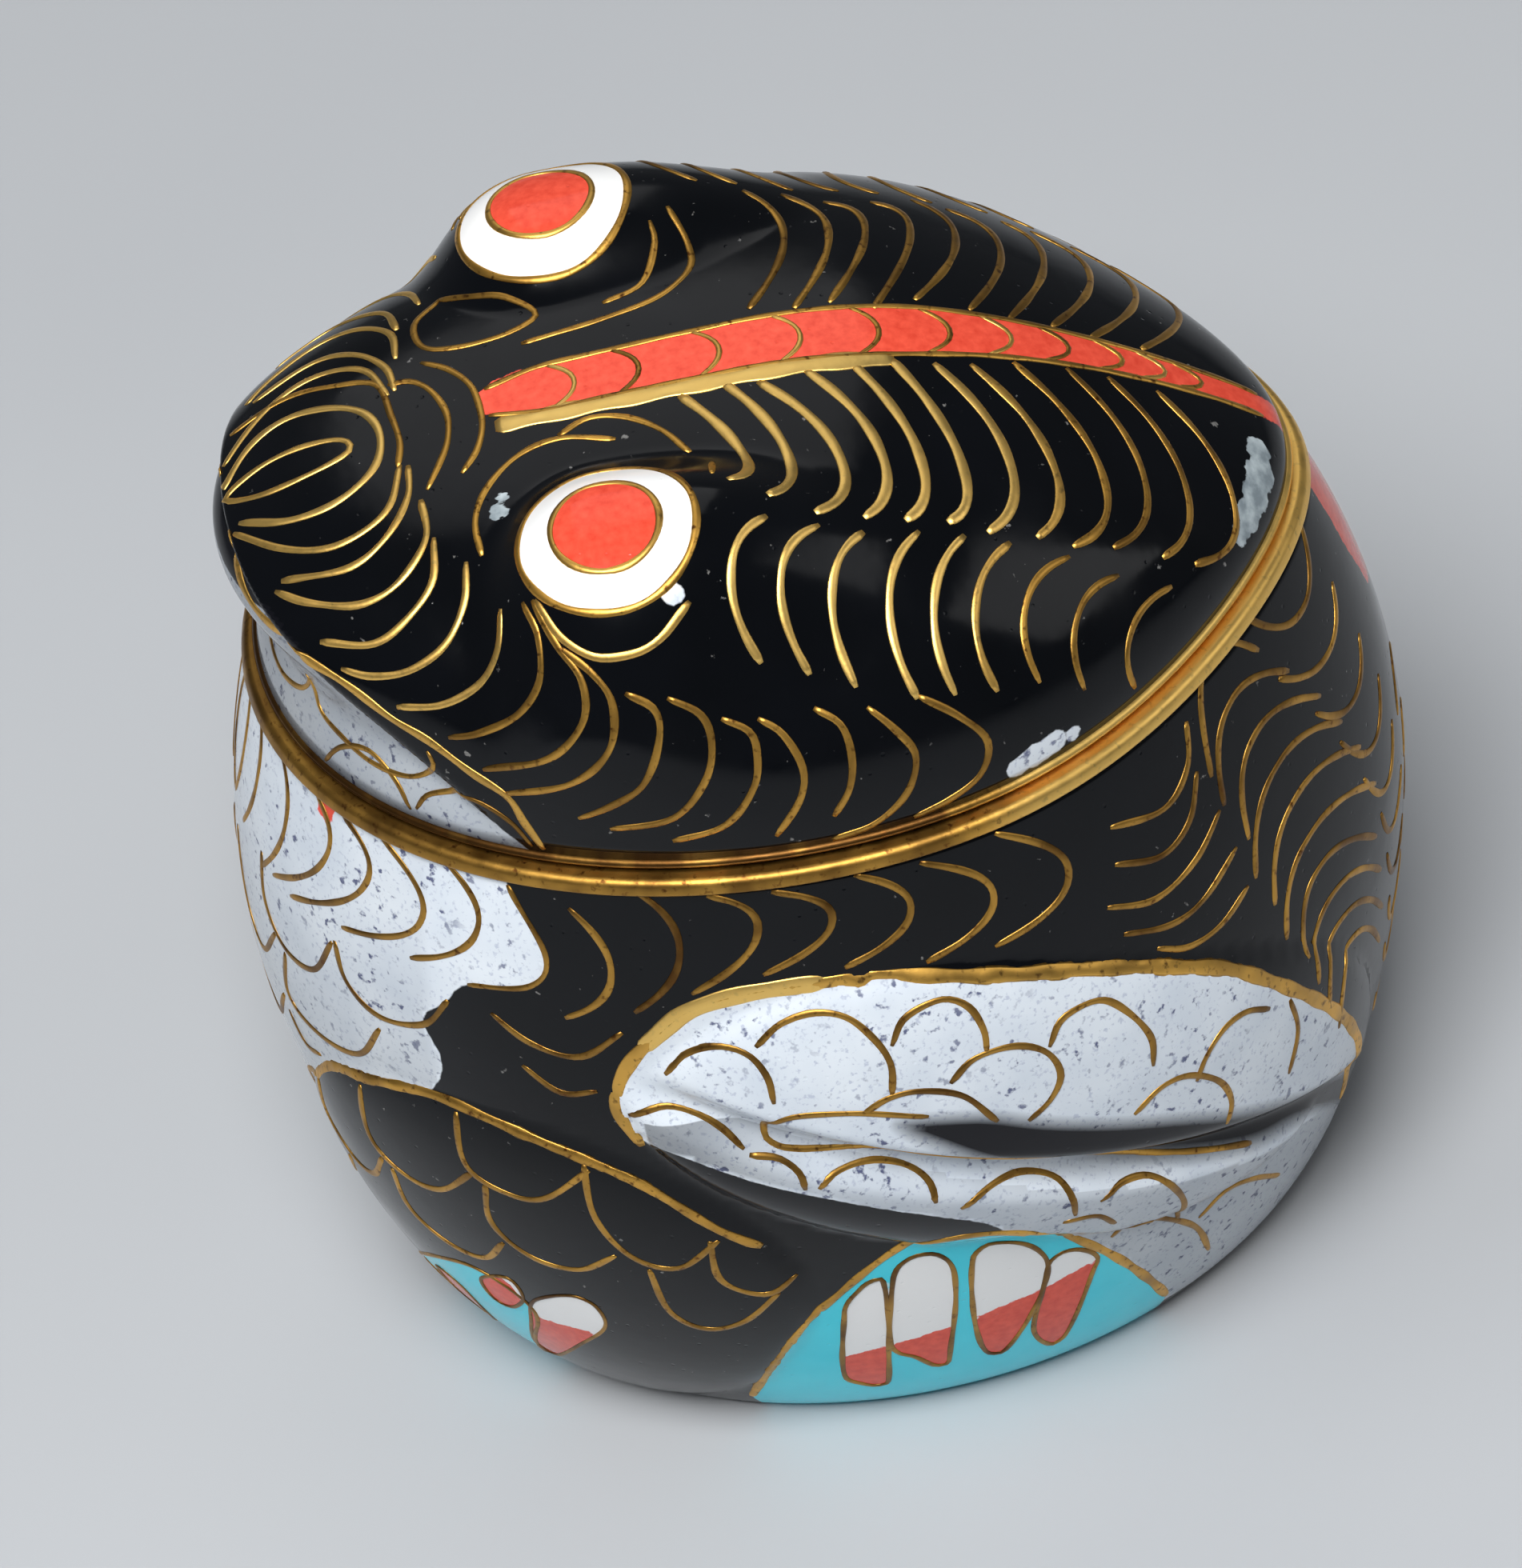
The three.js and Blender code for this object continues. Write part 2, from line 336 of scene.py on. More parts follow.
# ---- Drawing on the bowl: (along, height) on one side, mirrored on the other
THIGH_EDGE = [
    (-11.3, 27.4), (-12.1, 29.4), (-12, 31.3), (-11.1, 33.3), (-9.6, 35.1), (-8, 36.5), (-5.2, 37.3),
    (-1.3, 37.3), (2.7, 36.6), (7.5, 34.7), (11.4, 32.5), (14.5, 30.1), (16.9, 27.8), (19.9, 23.6),
    (22.4, 19.8), (24.8, 15.8), (27, 11.4), (28.6, 6),
]
SHANK_EDGE = [
    (-11.3, 27.8), (-9.4, 27.5), (-6.4, 25.9), (-2.5, 23.7), (1.5, 20.9), (3.4, 19), (5, 15), (7, 9),
    (10, 2),
]
FORELEG_EDGE = [
    (-32.4, 22.4), (-30, 25), (-27, 26.5), (-22, 28), (-17, 27.3), (-12, 25), (-8.5, 21), (-7, 19.5),
]
FORELEG_FRONT = [(-32.4, 22.4), (-36, 19), (-37.6, 12), (-38, 6)]
CHEST_SIDE = [
    (-17.4, 46), (-16.9, 42.8), (-14.9, 39.2), (-15.8, 37.2), (-19.2, 36.4), (-20.6, 34.8), (-22, 33.2),
    (-21.2, 31), (-21.4, 29.4), (-22.4, 27.8),
]
CHEST_FOOT = [
    (-27, 26.5), (-30, 25), (-32.4, 22.4), (-36, 19), (-37.6, 12), (-38, 6), (-40, 3.5), (-50, 3.5),
    (-50, 46),
]
HIND_WINDOW = [
    (-11, 2.4), (-6.8, 10.6), (-4.3, 14), (-2.1, 16.6), (0, 18.2), (2.4, 18.6), (4.9, 17.2), (7.6, 13.3),
    (9.8, 9.6), (13.4, 2.4),
]
FORE_WINDOW = [
    (-35, 1.6), (-32.5, 6), (-29.5, 9.4), (-26.5, 12), (-23.4, 13.7), (-21.4, 13.2), (-20.3, 11.6),
    (-20.6, 9.6), (-22.4, 6.2), (-24.4, 1.6),
]
HIND_TOES = [
    [(-3.8, 13.4), (-4.3, 11.5), (-5.2, 5.3), (-4.3, 3.9), (-3.2, 3.6), (-2.6, 7.5), (-2.1, 12.3),
     (-2.2, 15.2)],
    [(-1.1, 16), (-1.7, 13.9), (-2.4, 8.1), (-1.5, 6.6), (0, 4.6), (0.6, 7.4), (1.2, 12.1), (1.2, 15.2),
     (0.2, 16.6)],
    [(2.2, 14.6), (1.9, 9.3), (2.2, 5.5), (3.1, 4.5), (4.3, 6.6), (5.5, 10.1), (5.8, 12.7), (4.8, 15),
     (3, 16)],
    [(6, 12.6), (5.5, 10.1), (4.9, 6.1), (5.7, 3.7), (6.7, 3.9), (8.1, 9.6), (8.4, 11.2), (7.2, 12.8)],
]
FORE_TOES = [
    [(-30.4, 8), (-31.6, 5.6), (-30.6, 3.2), (-29.4, 4.2), (-28.9, 7.4)],
    [(-27.6, 10), (-28.2, 6.6), (-27, 4.4), (-25.9, 6.2), (-25.9, 9.4)],
    [(-22.9, 12.7), (-20.7, 14.2), (-20.4, 12.4), (-21.8, 10.5), (-23, 10.6)],
    [(-19.8, 12.4), (-17.4, 14.2), (-16.1, 13.8), (-16.1, 11.5), (-18.3, 8.6), (-22, 4.4), (-22.8, 5.3),
     (-21.1, 9.4)],
]
# The toes are red below these heights, read along the side from the fore foot to the hind foot.
TIP_STATIONS = (-30, -24, -21, -20.2, -14.1, -14, 10)
TIP_HEIGHTS = (6, 15, 14.5, 10.4, 10.4, 5.3, 11.3)
CRIMSON_REAR = [(MIDLINE + 9, 44), (38.6, 43.6), (38.3, 38), (39.4, 34.5), (MIDLINE + 9, 31.5)]
# Painted shade: in the crease between thigh and shank, and in the gap under the shank above the hind foot.
CREASE_PAINTED_SHADE = [
    (0.2, 28.9), (3.5, 28), (6, 26.2), (9.5, 23.6), (12.4, 21.4), (15.5, 18.7), (19.4, 15.6), (25, 11),
    (29.4, 7.2), (28.6, 5.6), (23.6, 9.8), (20.7, 12), (17.3, 13.9), (12.9, 17.1), (8, 21), (4.4, 24),
    (1.8, 26.8),
]
GAP_PAINTED_SHADE = [
    (-11, 27), (-9.4, 26.6), (-6.4, 25), (-2.5, 22.6), (1.5, 19.8), (2.5, 18.6), (-1, 18.6), (-6, 22),
    (-10.4, 26),
]
COLLAR_PATCH = [(-30.5, 45), (-30.1, 42.2), (-28.9, 41.7), (-28, 45)]

THIGH_PETALS = [
    [(-9.6, 32.7), (-8.5, 34), (-7, 34.6), (-5.7, 34.2), (-5, 32.9), (-4.9, 31.3)],
    [(-5.3, 34.6), (-4.1, 35.7), (-2.5, 36.1), (-1.1, 35.6), (-0.1, 34.1), (0.3, 32.6), (0.1, 30.9)],
    [(0.5, 33.7), (1.3, 35), (3, 35.4), (4.1, 34.6), (4.5, 33.1), (4.4, 31.8)],
    [(2.6, 30.7), (3.8, 31.7), (5.6, 31.6), (6.9, 30.5), (7.3, 28.8), (6.6, 27.5), (5.5, 26.7)],
    [(7.1, 30.7), (8, 31.9), (9.8, 31.8), (10.9, 30.4), (11.7, 28.1), (11.5, 26.3)],
    [(13.5, 23.4), (14.2, 24.6), (15.4, 25.4), (16.8, 25.2), (18.2, 24)],
    [(19.6, 23.2), (19.9, 20.7), (19.1, 18.2)],
    [(-1.3, 30), (-0.1, 30.7), (1.3, 30.7), (3, 29.7), (4.2, 27.4)],
    [(10.2, 23.8), (11.7, 24.6), (13.2, 24.1), (14.7, 22.2), (15.3, 20.1), (15, 18.5)],
    [(-11.6, 29.8), (-10.8, 30.3), (-9.8, 30.5), (-8.6, 30), (-7.5, 29.1), (-6.6, 28)],
]
SHANK_PETALS = [
    [(-6.4, 27.7), (-5.2, 27.2), (-4.4, 26.3), (-4.3, 25.2)],
    [(-3.7, 25.2), (-3, 25.8), (-1.4, 25.6), (0, 24.8), (0.9, 23.7), (1, 22.6)],
    [(2, 21.6), (3.1, 22.1), (4.9, 21.8), (6.4, 20.7), (6.9, 19.5), (7, 17.7)],
    [(8.2, 18.1), (9.3, 18.4), (10.9, 17.6), (11.9, 16.1), (12.8, 13.4), (13.1, 10.6)],
    [(9.2, 12.4), (10.4, 13.1), (12.4, 11.3), (14.4, 8.6), (15.8, 5)],
    [(14.5, 9.4), (16.2, 10.2), (18.3, 9.2), (21, 6.8)],
    [(6.4, 17.4), (8, 16.8), (9, 15)],
]
LOOP = [
    (1.4, 29), (-1.4, 30.1), (-4, 30.4), (-5.2, 29.8), (-5.7, 28.4), (-4.9, 27.5), (-2.3, 26.6),
    (1.1, 25.9), (4.3, 24), (8.8, 20.4), (12.8, 17.2), (17.2, 14),
]
CHEST_PETALS = [
    [(-33, 31), (-33.4, 27.6), (-30.6, 27), (-27, 28), (-25, 31)],
    [(-28, 35.2), (-27.2, 33), (-25, 31.9), (-22, 32.8), (-20.4, 35)],
    [(-35.6, 36), (-35.2, 33), (-33, 31.4), (-30, 32), (-28.2, 35)],
    [(-40.8, 33.6), (-39.4, 29.6), (-36.6, 28.4), (-34, 31.6)],
    [(-42, 26), (-39.8, 23.6), (-36.8, 23.4), (-34.2, 27)],
    [(-42, 17), (-40.4, 15.4), (-38.4, 17)], [(-34, 26), (-32.8, 24.4), (-31, 25)],
]
HAUNCH_LINES = [
    [(-18, 35), (-16, 33.6), (-13.6, 33.2), (-11.4, 35)],
    [(-16.6, 32), (-14.8, 30.6), (-13, 31)],
]
FORE_SCALES = [
    [(-20.6, 27.6), (-20.4, 24), (-18.6, 22.8), (-16.6, 23), (-14, 25.6)],
    [(-19.6, 23), (-20, 19.6), (-18.4, 17.4), (-16, 17.2), (-13.8, 19)],
    [(-14.2, 26), (-14.2, 22), (-13, 19), (-11, 18.2), (-8.8, 20.4)],
    [(-12.4, 18), (-12.2, 14), (-10.8, 12.3), (-8.8, 13), (-6.8, 15.4)],
    [(-9.2, 20.4), (-9.2, 17), (-7.4, 15.4), (-5.8, 16.6)],
    [(-27, 26), (-27, 22), (-25, 20.6), (-22.6, 21), (-20.2, 23.6)],
    [(-32, 22.6), (-32.4, 19.4), (-30.6, 17.6), (-28.4, 18), (-26.6, 20.8)],
    [(-26, 20.4), (-26, 17), (-24, 15.4), (-21.6, 15.6), (-19.8, 18)],
    [(-36, 17), (-35, 14.2), (-33, 14), (-31.4, 16.8)],
]
RUMP_SMILES = [
    [(19, 42), (18, 40), (16, 39), (13, 40)], [(18.4, 39.4), (17, 37.4), (15, 36.8), (12.6, 38)],
    [(18.8, 36.6), (16.6, 35.2), (14, 34.8), (11.6, 36)], [(19, 34), (16.4, 32.8), (14.4, 32.8), (12, 34)],
    [(19, 31.4), (17, 30.6), (15, 30.8), (13.4, 32)],
]
CHEST_BOWS = [
    [(-41, 43.4), (-40, 39.6), (-41.6, 35.4)], [(-38.2, 43.4), (-37, 39.8), (-39, 35.4)],
    [(-35, 43.4), (-32.9, 40), (-35.4, 35.2)], [(-30.4, 43), (-29, 39.8), (-34, 35.6)],
    [(-28, 43), (-25.8, 39.8), (-32, 35.6)], [(-25, 43.1), (-21.9, 39.4), (-27.4, 36.4)],
    [(-20.6, 43.2), (-18.6, 39.8), (-22.6, 36.8)],
]
BAND_ROW = dict(
    starts=[(-13.6, 42), (-10.3, 43), (-2.9, 43.1), (7.5, 42.6)],
    bellies=[(-11.6, 38.6), (-8.4, 40), (-0.3, 40.8), (10.4, 39)],
    ends=[(-14, 35.8), (-12.4, 35.6), (-4.6, 38.2), (6, 36.8)],
    count=7,
)
RUMP_ROW = dict(
    starts=[(25.4, 41.6), (27.4, 37), (30, 30), (30, 24), (30.6, 16)],
    bellies=[(21.6, 43.4), (22.2, 39.2), (23.2, 34), (24, 28), (26, 20.6)],
    ends=[(18.8, 38.8), (19.4, 34.6), (20, 30), (20.8, 25.4), (23.6, 17)],
    count=10,
)
REAR_ROW = dict(
    starts=[(34.2, 43), (34, 38.6), (34.6, 31), (36, 20), (36.8, 10)],
    bellies=[(29.6, 40.6), (30, 36.2), (31.4, 28.8), (33, 18), (34, 8.4)],
    ends=[(25.6, 43), (26, 38.4), (28.6, 31.6), (31.4, 20.4), (32, 11)],
    count=10,
)
MIDDLE_ROW = dict(
    starts=[(40.6, 29), (40.8, 19), (40.8, 8)],
    bellies=[(38.6, 29.4), (38.8, 19), (39, 8)],
    ends=[(37, 27.4), (37.2, 17.4), (37.4, 7)],
    count=7,
)

# ---- Drawing on the lid, left side
# Rows over the flank: (station y, distance down the flank from the midline).
STRIPE_ROW = dict(
    starts=[(-3, 2.6), (8, 2.1), (19.8, 1.3)], bellies=[(-0.5, 7.5), (10.3, 8.4), (22.4, 7)],
    ends=[(-1.3, 10), (2.2, 11.7), (8.6, 12), (14, 12.4), (20, 11.4)], count=12,
)
FLANK_ROW = dict(
    starts=[(-0.2, 12.2), (8.4, 12.7), (18.5, 13.2)], bellies=[(-2.3, 15.5), (7, 16.3), (15.9, 16)],
    ends=[(-1.8, 20), (7.3, 20.8), (15.6, 19.4)], count=9,
)
# Arcs over the cheek: (x, y, height above the seam).
CHEEK_ARCS = [
    [(13.5, -12.3, 13.3), (15.1, -11.9, 12.5), (16.3, -12.3, 10.7), (16.3, -13.6, 8.8), (15.6, -15.6, 7.4),
     (15, -17.2, 6.9)],
    [(13.8, -11.8, 13.6), (15.9, -11.1, 12.4), (17.3, -10.3, 11.1), (18.2, -10.7, 9.2), (18, -12.7, 7.1),
     (16.2, -15.9, 5.5)],
    [(16, -11.1, 12.4), (17.2, -9.8, 11.5), (18.2, -9.1, 10.1), (19, -9.7, 7.9), (18.6, -11.8, 5.8),
     (17, -15.1, 4.4)],
    [(18.1, -8.4, 10.5), (18.6, -7.2, 9.5), (19.3, -7.3, 8.1), (19.7, -8.5, 5.8), (19.3, -10.3, 4.4),
     (18.8, -11.9, 3.5)],
    [(18.4, -6.5, 9.9), (18.9, -5.1, 8.8), (19.5, -4.9, 7.3), (20.2, -5.6, 5.6), (20.2, -7.5, 3.6),
     (19.3, -10.5, 2.9)],
    [(19, -4.2, 8.4), (19.4, -3, 7.5), (20, -2.9, 6.3), (20.5, -3.4, 4.8), (20.7, -5.1, 2.9),
     (20.2, -7.7, 2.1)],
    [(19.1, -2.5, 8), (19.6, -1.5, 7.1), (20.4, -0.9, 5.4), (20.8, -1.3, 3.8), (21, -2.8, 1.8)],
    [(19, 0.2, 7.8), (19.6, 1.3, 6.9), (20.3, 1.5, 5.4), (20.8, 1.1, 3.8), (21.1, 0.1, 2.4)],
    [(19.2, 2.7, 7.3), (19.8, 3.8, 6), (20.3, 4.5, 4.5), (20.8, 3.7, 2.6), (21.1, 1.9, 1.3),
     (21.1, -0.2, 0.9)],
    [(18.9, 5.2, 7), (19.4, 6.9, 5.6), (19.6, 8, 3.8), (20, 7.4, 2.2), (20.3, 5.8, 1.4), (20.6, 3.8, 1)],
]
# Lines seen from above: (x, y).
NOSTRIL = [
    (0, -25.7), (1, -24), (1.1, -21.6), (0.7, -19.6), (0.1, -19.1), (-0.6, -19.8), (-1, -21.8), (-0.8, -24),
]
NOSE_LOOP = [
    (-0.6, -25.9), (-2.8, -24), (-3.5, -22), (-3, -19.8), (-1.8, -18.2), (0, -17.6), (1.9, -18),
    (3.1, -19.3), (3.6, -21), (3.3, -23), (2, -25.2),
]
NOSE_ARCS = [
    [(-4.6, -25), (-5.2, -22), (-4.6, -19.5), (-3.6, -17.4), (-1, -16.9), (1, -16.7), (2.6, -17)],
    [(-3.3, -16.8), (-3, -15.6), (-1.8, -14.7), (0, -14.2), (1.8, -14.4), (3.2, -15), (4.6, -15.8)],
    [(-4.2, -15), (-3.2, -13.8), (-1.8, -12.9), (-0.4, -12.6), (1.4, -12.6), (3, -13.1), (4.2, -14)],
]
# Arcs from the snout to the lip: (x, y, height above the seam).
SNOUT_ARCS = [
    [(2.5, -16.9, 13.4), (4.8, -17.7, 13.1), (5.8, -19.2, 12.7), (5.9, -21.2, 12.2), (4.7, -23.4, 11.7),
     (2.4, -25.5, 11)],
    [(2.7, -16.5, 13.4), (4.7, -16.8, 13.2), (6.6, -18.2, 12.7), (7.4, -20.3, 12), (6.4, -23.6, 11.1)],
    [(5.1, -16.2, 13.3), (7.4, -16.3, 12.9), (9.1, -18, 12), (9.3, -20.1, 11.3), (8.1, -22.5, 11),
     (6.7, -24, 10.8)],
    [(7.5, -15.9, 12.9), (9.7, -16.4, 12.1), (10.9, -18.1, 11.1), (11.1, -19.9, 10.3), (9.8, -22.3, 9.9)],
    [(9.3, -14.6, 12.6), (11.2, -15.1, 11.8), (12.5, -16.4, 10.6), (12.7, -18.4, 9.6), (12, -20.3, 9.1),
     (11.1, -21.6, 9.1)],
    [(12.7, -13.4, 12.4), (13.9, -13.9, 11.1), (14.4, -15.1, 9.5), (14.2, -17.1, 8.4), (13.2, -19.3, 7.9)],
]
NEAR_BROW = [
    [(9.3, -13.8), (7.3, -13.8), (5.5, -12.9), (4, -11.1), (3.6, -9), (4.5, -6.4)],
    [(3.4, -9.1), (2.7, -7.5), (3.2, -5.7), (4.6, -4.1), (6.4, -3)],
    [(7.8, -2.1), (9.2, -2.2)],
]
EYE_UNDER = [(13.9, -11.7), (15.7, -10.9), (16.9, -9.5), (17.2, -7.8), (16.9, -6.2), (15.9, -4.5)]
FAR_BROW = [
    [(-9, -13.6), (-7.5, -15), (-5.4, -14.8), (-4.6, -13.2), (-4.6, -10.7), (-5.5, -9), (-7, -10.3),
     (-8, -12), (-9, -13.6)],
    [(-3.6, -10), (-4, -6), (-4.8, -3), (-6.5, -1.2), (-8, -1), (-10, -1.6)],
    [(-9.2, -2.6), (-8, -2.6), (-6, -3.7), (-5.2, -5.7)],
]
STRIPE_STATIONS = (-12.6, -11.2, 8, 18, 24.6)
STRIPE_HALF = (0.7, 1.55, 1.8, 1.1, 0.8)
STRIPE_CELLS = (-7.8, -4.6, -0.6, 3.4, 7.2, 10.6, 13.5, 16.2, 18.7, 20.7, 22.4)
STRIPE_X = -0.1
STRIPE_FOOT = 1.2
JAW_TOP = 9.4
# Gilding rubbed over the stripe's left edge.
SMEAR = [(1.7, -12), (1.85, -8), (2, -3), (2.05, 2), (1.95, 7.6)]
# Lines on the jaw: (x, y, height above the seam).
LIP_LINE = [
    (2, -25.8, 11), (4.6, -25.6, 9.6), (6.8, -24.7, 8.9), (9.7, -23.3, 9), (11.5, -21.5, 8.4),
    (13.2, -19.7, 7.2), (14.5, -18.1, 6.4), (16, -16.4, 5.1), (17.1, -15, 4.2), (17.5, -14.5, 2.7),
    (17.9, -13.9, 1),
]
JAW_PETALS = [
    [(7.1, -23.6, 5.3), (7.7, -23.3, 3.5), (9.5, -22.5, 3), (11.5, -21.2, 2.7), (13.2, -19.4, 3),
     (14.7, -18.3, 4.8), (14.5, -18.4, 5.8)],
    [(8.9, -23.7, 1), (9.7, -22.6, 2.5), (11.1, -21.3, 3.2), (12.7, -20.3, 2.4), (13.6, -19.9, 1.2)],
    [(13.8, -19.6, 1.4), (14.1, -18.7, 2.5), (15.9, -16.9, 3.5), (17.1, -15.3, 2.7), (17.6, -14.4, 1.1)],
    [(0.4, -25.4, 5), (1.8, -25.2, 3.4), (4, -24.6, 2.8), (6, -23.8, 3.4), (7, -23.2, 5)],
]
# Round patches: (station y, distance down the flank, radius), and (x, y, radius) from above.
# The white spots low on the flank are a painted highlight; the rest are lost enamel.
FLANK_HIGHLIGHTS = [(10.2, 24.0, 0.75), (9.2, 24.8, 0.6), (11.2, 23.2, 0.7), (12.2, 22.6, 0.45)]
BROW_CHIP = (15.6, -5.2, 0.55)
REAR_BARE = [(24.4, 3.4, 0.8), (24.2, 4.8, 1.0), (23.7, 6.2, 1.0), (23.1, 7.6, 0.9), (22.5, 8.8, 0.6)]
BROW_BARE = [(7.2, -12.6, 0.5), (6.4, -12.3, 0.35)]

# ---- Bowl
BOWL_ROUND = 400
EDGE_TOP = SEAM - BAND_HEIGHT - 0.01


def bowl_body():
    angle = ring(BOWL_ROUND)
    crease = crease_height(angle)
    rows = [np.zeros((1, 3))]
    along = [np.zeros(1)]
    outside = [False]

    def add(height, out, is_outside, share=1):
        rows.append(wall_point(angle, height + 0 * angle, out) * (share, share, 1))
        along.append(along_side(angle))
        outside.append(is_outside)

    for share in (0.3, 0.6, 0.85):
        add(0, -FOOT_BEVEL - SKIN, False, share)
    for turn in np.radians((0, 22, 45, 68)):
        add(FOOT_ROUND * (1 - math.cos(turn)), -FOOT_BEVEL * (1 - math.sin(turn)) - SKIN, True)
    heights = [FOOT_ROUND + (crease - GROOVE - FOOT_ROUND) * s for s in np.linspace(0, 1, 54)]
    heights += [crease + step for step in np.linspace(-GROOVE, GROOVE, 18)[1:-1]]
    heights += [crease + GROOVE + (EDGE_TOP - crease - GROOVE) * s for s in np.linspace(0, 1, 52)]
    for height in heights:
        add(height, leg_relief(angle, height) - SKIN, True)
    surface_end = len(rows)
    for height in (EDGE_TOP, 40, 36, 32, 28, 24, 20, 16, 12, 8, 5):
        add(height, -BOWL_WALL, False)
    for turn in np.radians((0, 30, 60, 90)):
        height = FLOOR_THICKNESS + FLOOR_FILLET * (1 - math.sin(turn))
        add(height, -BOWL_WALL - FLOOR_FILLET * (1 - math.cos(turn)), False)
    rows.append(np.array([[0, 0, FLOOR_THICKNESS]]))
    along.append(np.zeros(1))
    outside.append(False)
    points, faces = closed_body(rows)
    is_outside = np.concatenate([np.full(len(row), flag) for row, flag in zip(rows, outside)])
    # The wires are laid on the outer wall alone, which starts after the underside's four rows.
    first = 1 + 3 * BOWL_ROUND
    last = first + (surface_end - 4) * BOWL_ROUND
    wall = [face for face in faces if min(face) >= first and max(face) < last]
    tree = BVHTree.FromPolygons((points * MM).tolist(), wall)
    return points, faces, np.concatenate(along), is_outside, tree


bowl_points, bowl_faces, bowl_along, bowl_outside, bowl_tree = bowl_body()
bowl_height = bowl_points[:, 2]


def bowl_field(outlines):
    """How far inside the nearest of some smooth closed outlines the bowl's points lie."""
    nearest = np.full(len(bowl_points), NOWHERE)
    for outline in outlines:
        closed = curve(outline, 90, closed=True)
        nearest = np.maximum(nearest, outline_field(bowl_along, bowl_height, closed))
    return np.where(bowl_outside, nearest, NOWHERE)


def straight_field(outline):
    """The same for one outline with its corners kept."""
    return np.where(bowl_outside, outline_field(bowl_along, bowl_height, outline), NOWHERE)


thigh_edge = curve(THIGH_EDGE, 90)
at_shoulder = (thigh_edge[:, 0] > -11) & (thigh_edge[:, 0] < -1.5) & (thigh_edge[:, 1] > 31.5)
thigh_shoulder = thigh_edge[at_shoulder]
hind_leg = thigh_edge.tolist() + [(28, 4), (23, 1.6), (15.6, 1.6)] + curve(SHANK_EDGE, 60)[::-1].tolist()
chest = curve(CHEST_SIDE, 60).tolist() + CHEST_FOOT
hind_window = curve(HIND_WINDOW, 60).tolist() + [(13.4, -3), (-11, -3)]
fore_window = curve(FORE_WINDOW, 60).tolist() + [(-24.4, -3), (-35, -3)]
windows = np.maximum(straight_field(hind_window), straight_field(fore_window))
toes = bowl_field(HIND_TOES + FORE_TOES)
tips = np.minimum(toes, np.interp(bowl_along, TIP_STATIONS, TIP_HEIGHTS) - bowl_height)
body_white = np.maximum(straight_field(chest), straight_field(hind_leg))
# The low parts of the white are painted greyer as shade: under the crease, deeper towards the
# thigh's front as the shadow of its overhang, and at the foot of the chest.
under_crease = bowl_height < crease_height(np.arctan2(bowl_points[:, 1], bowl_points[:, 0])) - 0.5
rear_shade = np.interp(bowl_height, (8, 25), (-0.24, -0.44)) + 0.45 * smooth((-3 - bowl_along) / 7)
rear_shade = np.where(under_crease & (bowl_along > -11), rear_shade, NOWHERE)
front_shade = np.interp(bowl_height, (24, 38), (-0.27, -0.52)) - 0.15 * np.maximum(bowl_along + 22, 0)
shade = np.minimum.reduce([np.maximum(rear_shade, front_shade), -1.5 * windows - 0.6, 6 * body_white - 0.3])
bowl_fields = {
    "turquoise": np.where(bowl_outside, windows, 2.0),
    "white": np.maximum(np.minimum(body_white, -windows), toes),
    "coral": np.maximum(np.maximum(tips, straight_field(CRIMSON_REAR)), straight_field(COLLAR_PATCH)),
    # Painted shade: the crease, the gap under the shank and the greyer low white.
    "painted_shade": np.maximum.reduce([bowl_field([CREASE_PAINTED_SHADE]), bowl_field([GAP_PAINTED_SHADE]) - 0.5, shade]),
    "clean": toes + 0.5,
    "bare": np.full(len(bowl_points), NOWHERE),
}
bowl = make_piece("bowl_enamel", bowl_points, bowl_faces, bowl_fields)
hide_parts("bowl")

# ---- Lid
LID_ROUND = 360
LID_ROWS = 100
INSIDE_ROWS = 16
LID_BASE = PIECE_GAP + LID_EDGE - 0.01


def lid_body():
    top = np.full(1, math.pi / 2)
    angle = ring(LID_ROUND)
    rows = []
    mouths = []
    outside = []

    def add(rise, inset, is_outside):
        points, mouth = lid_point(angle, np.full(LID_ROUND, rise), inset, LID_BASE)
        rows.append(points)
        mouths.append(mouth)
        outside.append(is_outside)

    rows.append(lid_point(np.zeros(1), top, LID_WALL, LID_BASE)[0])
    mouths.append(np.full(1, NOWHERE))
    outside.append(False)
    for k in reversed(range(INSIDE_ROWS)):
        add(math.pi / 2 * (k / INSIDE_ROWS) ** 0.9, LID_WALL, False)
    for k in range(LID_ROWS):
        add(math.pi / 2 * (k / LID_ROWS) ** 0.9, SKIN, True)
    rows.append(lid_point(np.zeros(1), top, SKIN, LID_BASE)[0])
    mouths.append(np.full(1, NOWHERE))
    outside.append(True)
    points, faces = closed_body(rows)
    is_outside = np.concatenate([np.full(len(row), flag) for row, flag in zip(rows, outside)])
    first = 1 + INSIDE_ROWS * LID_ROUND
    shell = [face for face in faces if min(face) >= first]
    tree = BVHTree.FromPolygons((points * MM).tolist(), shell)
    return points, faces, np.concatenate(mouths), is_outside, tree


lid_points, lid_faces, lid_mouth, lid_outside, lid_tree = lid_body()


GAUGE_STEP = 0.5


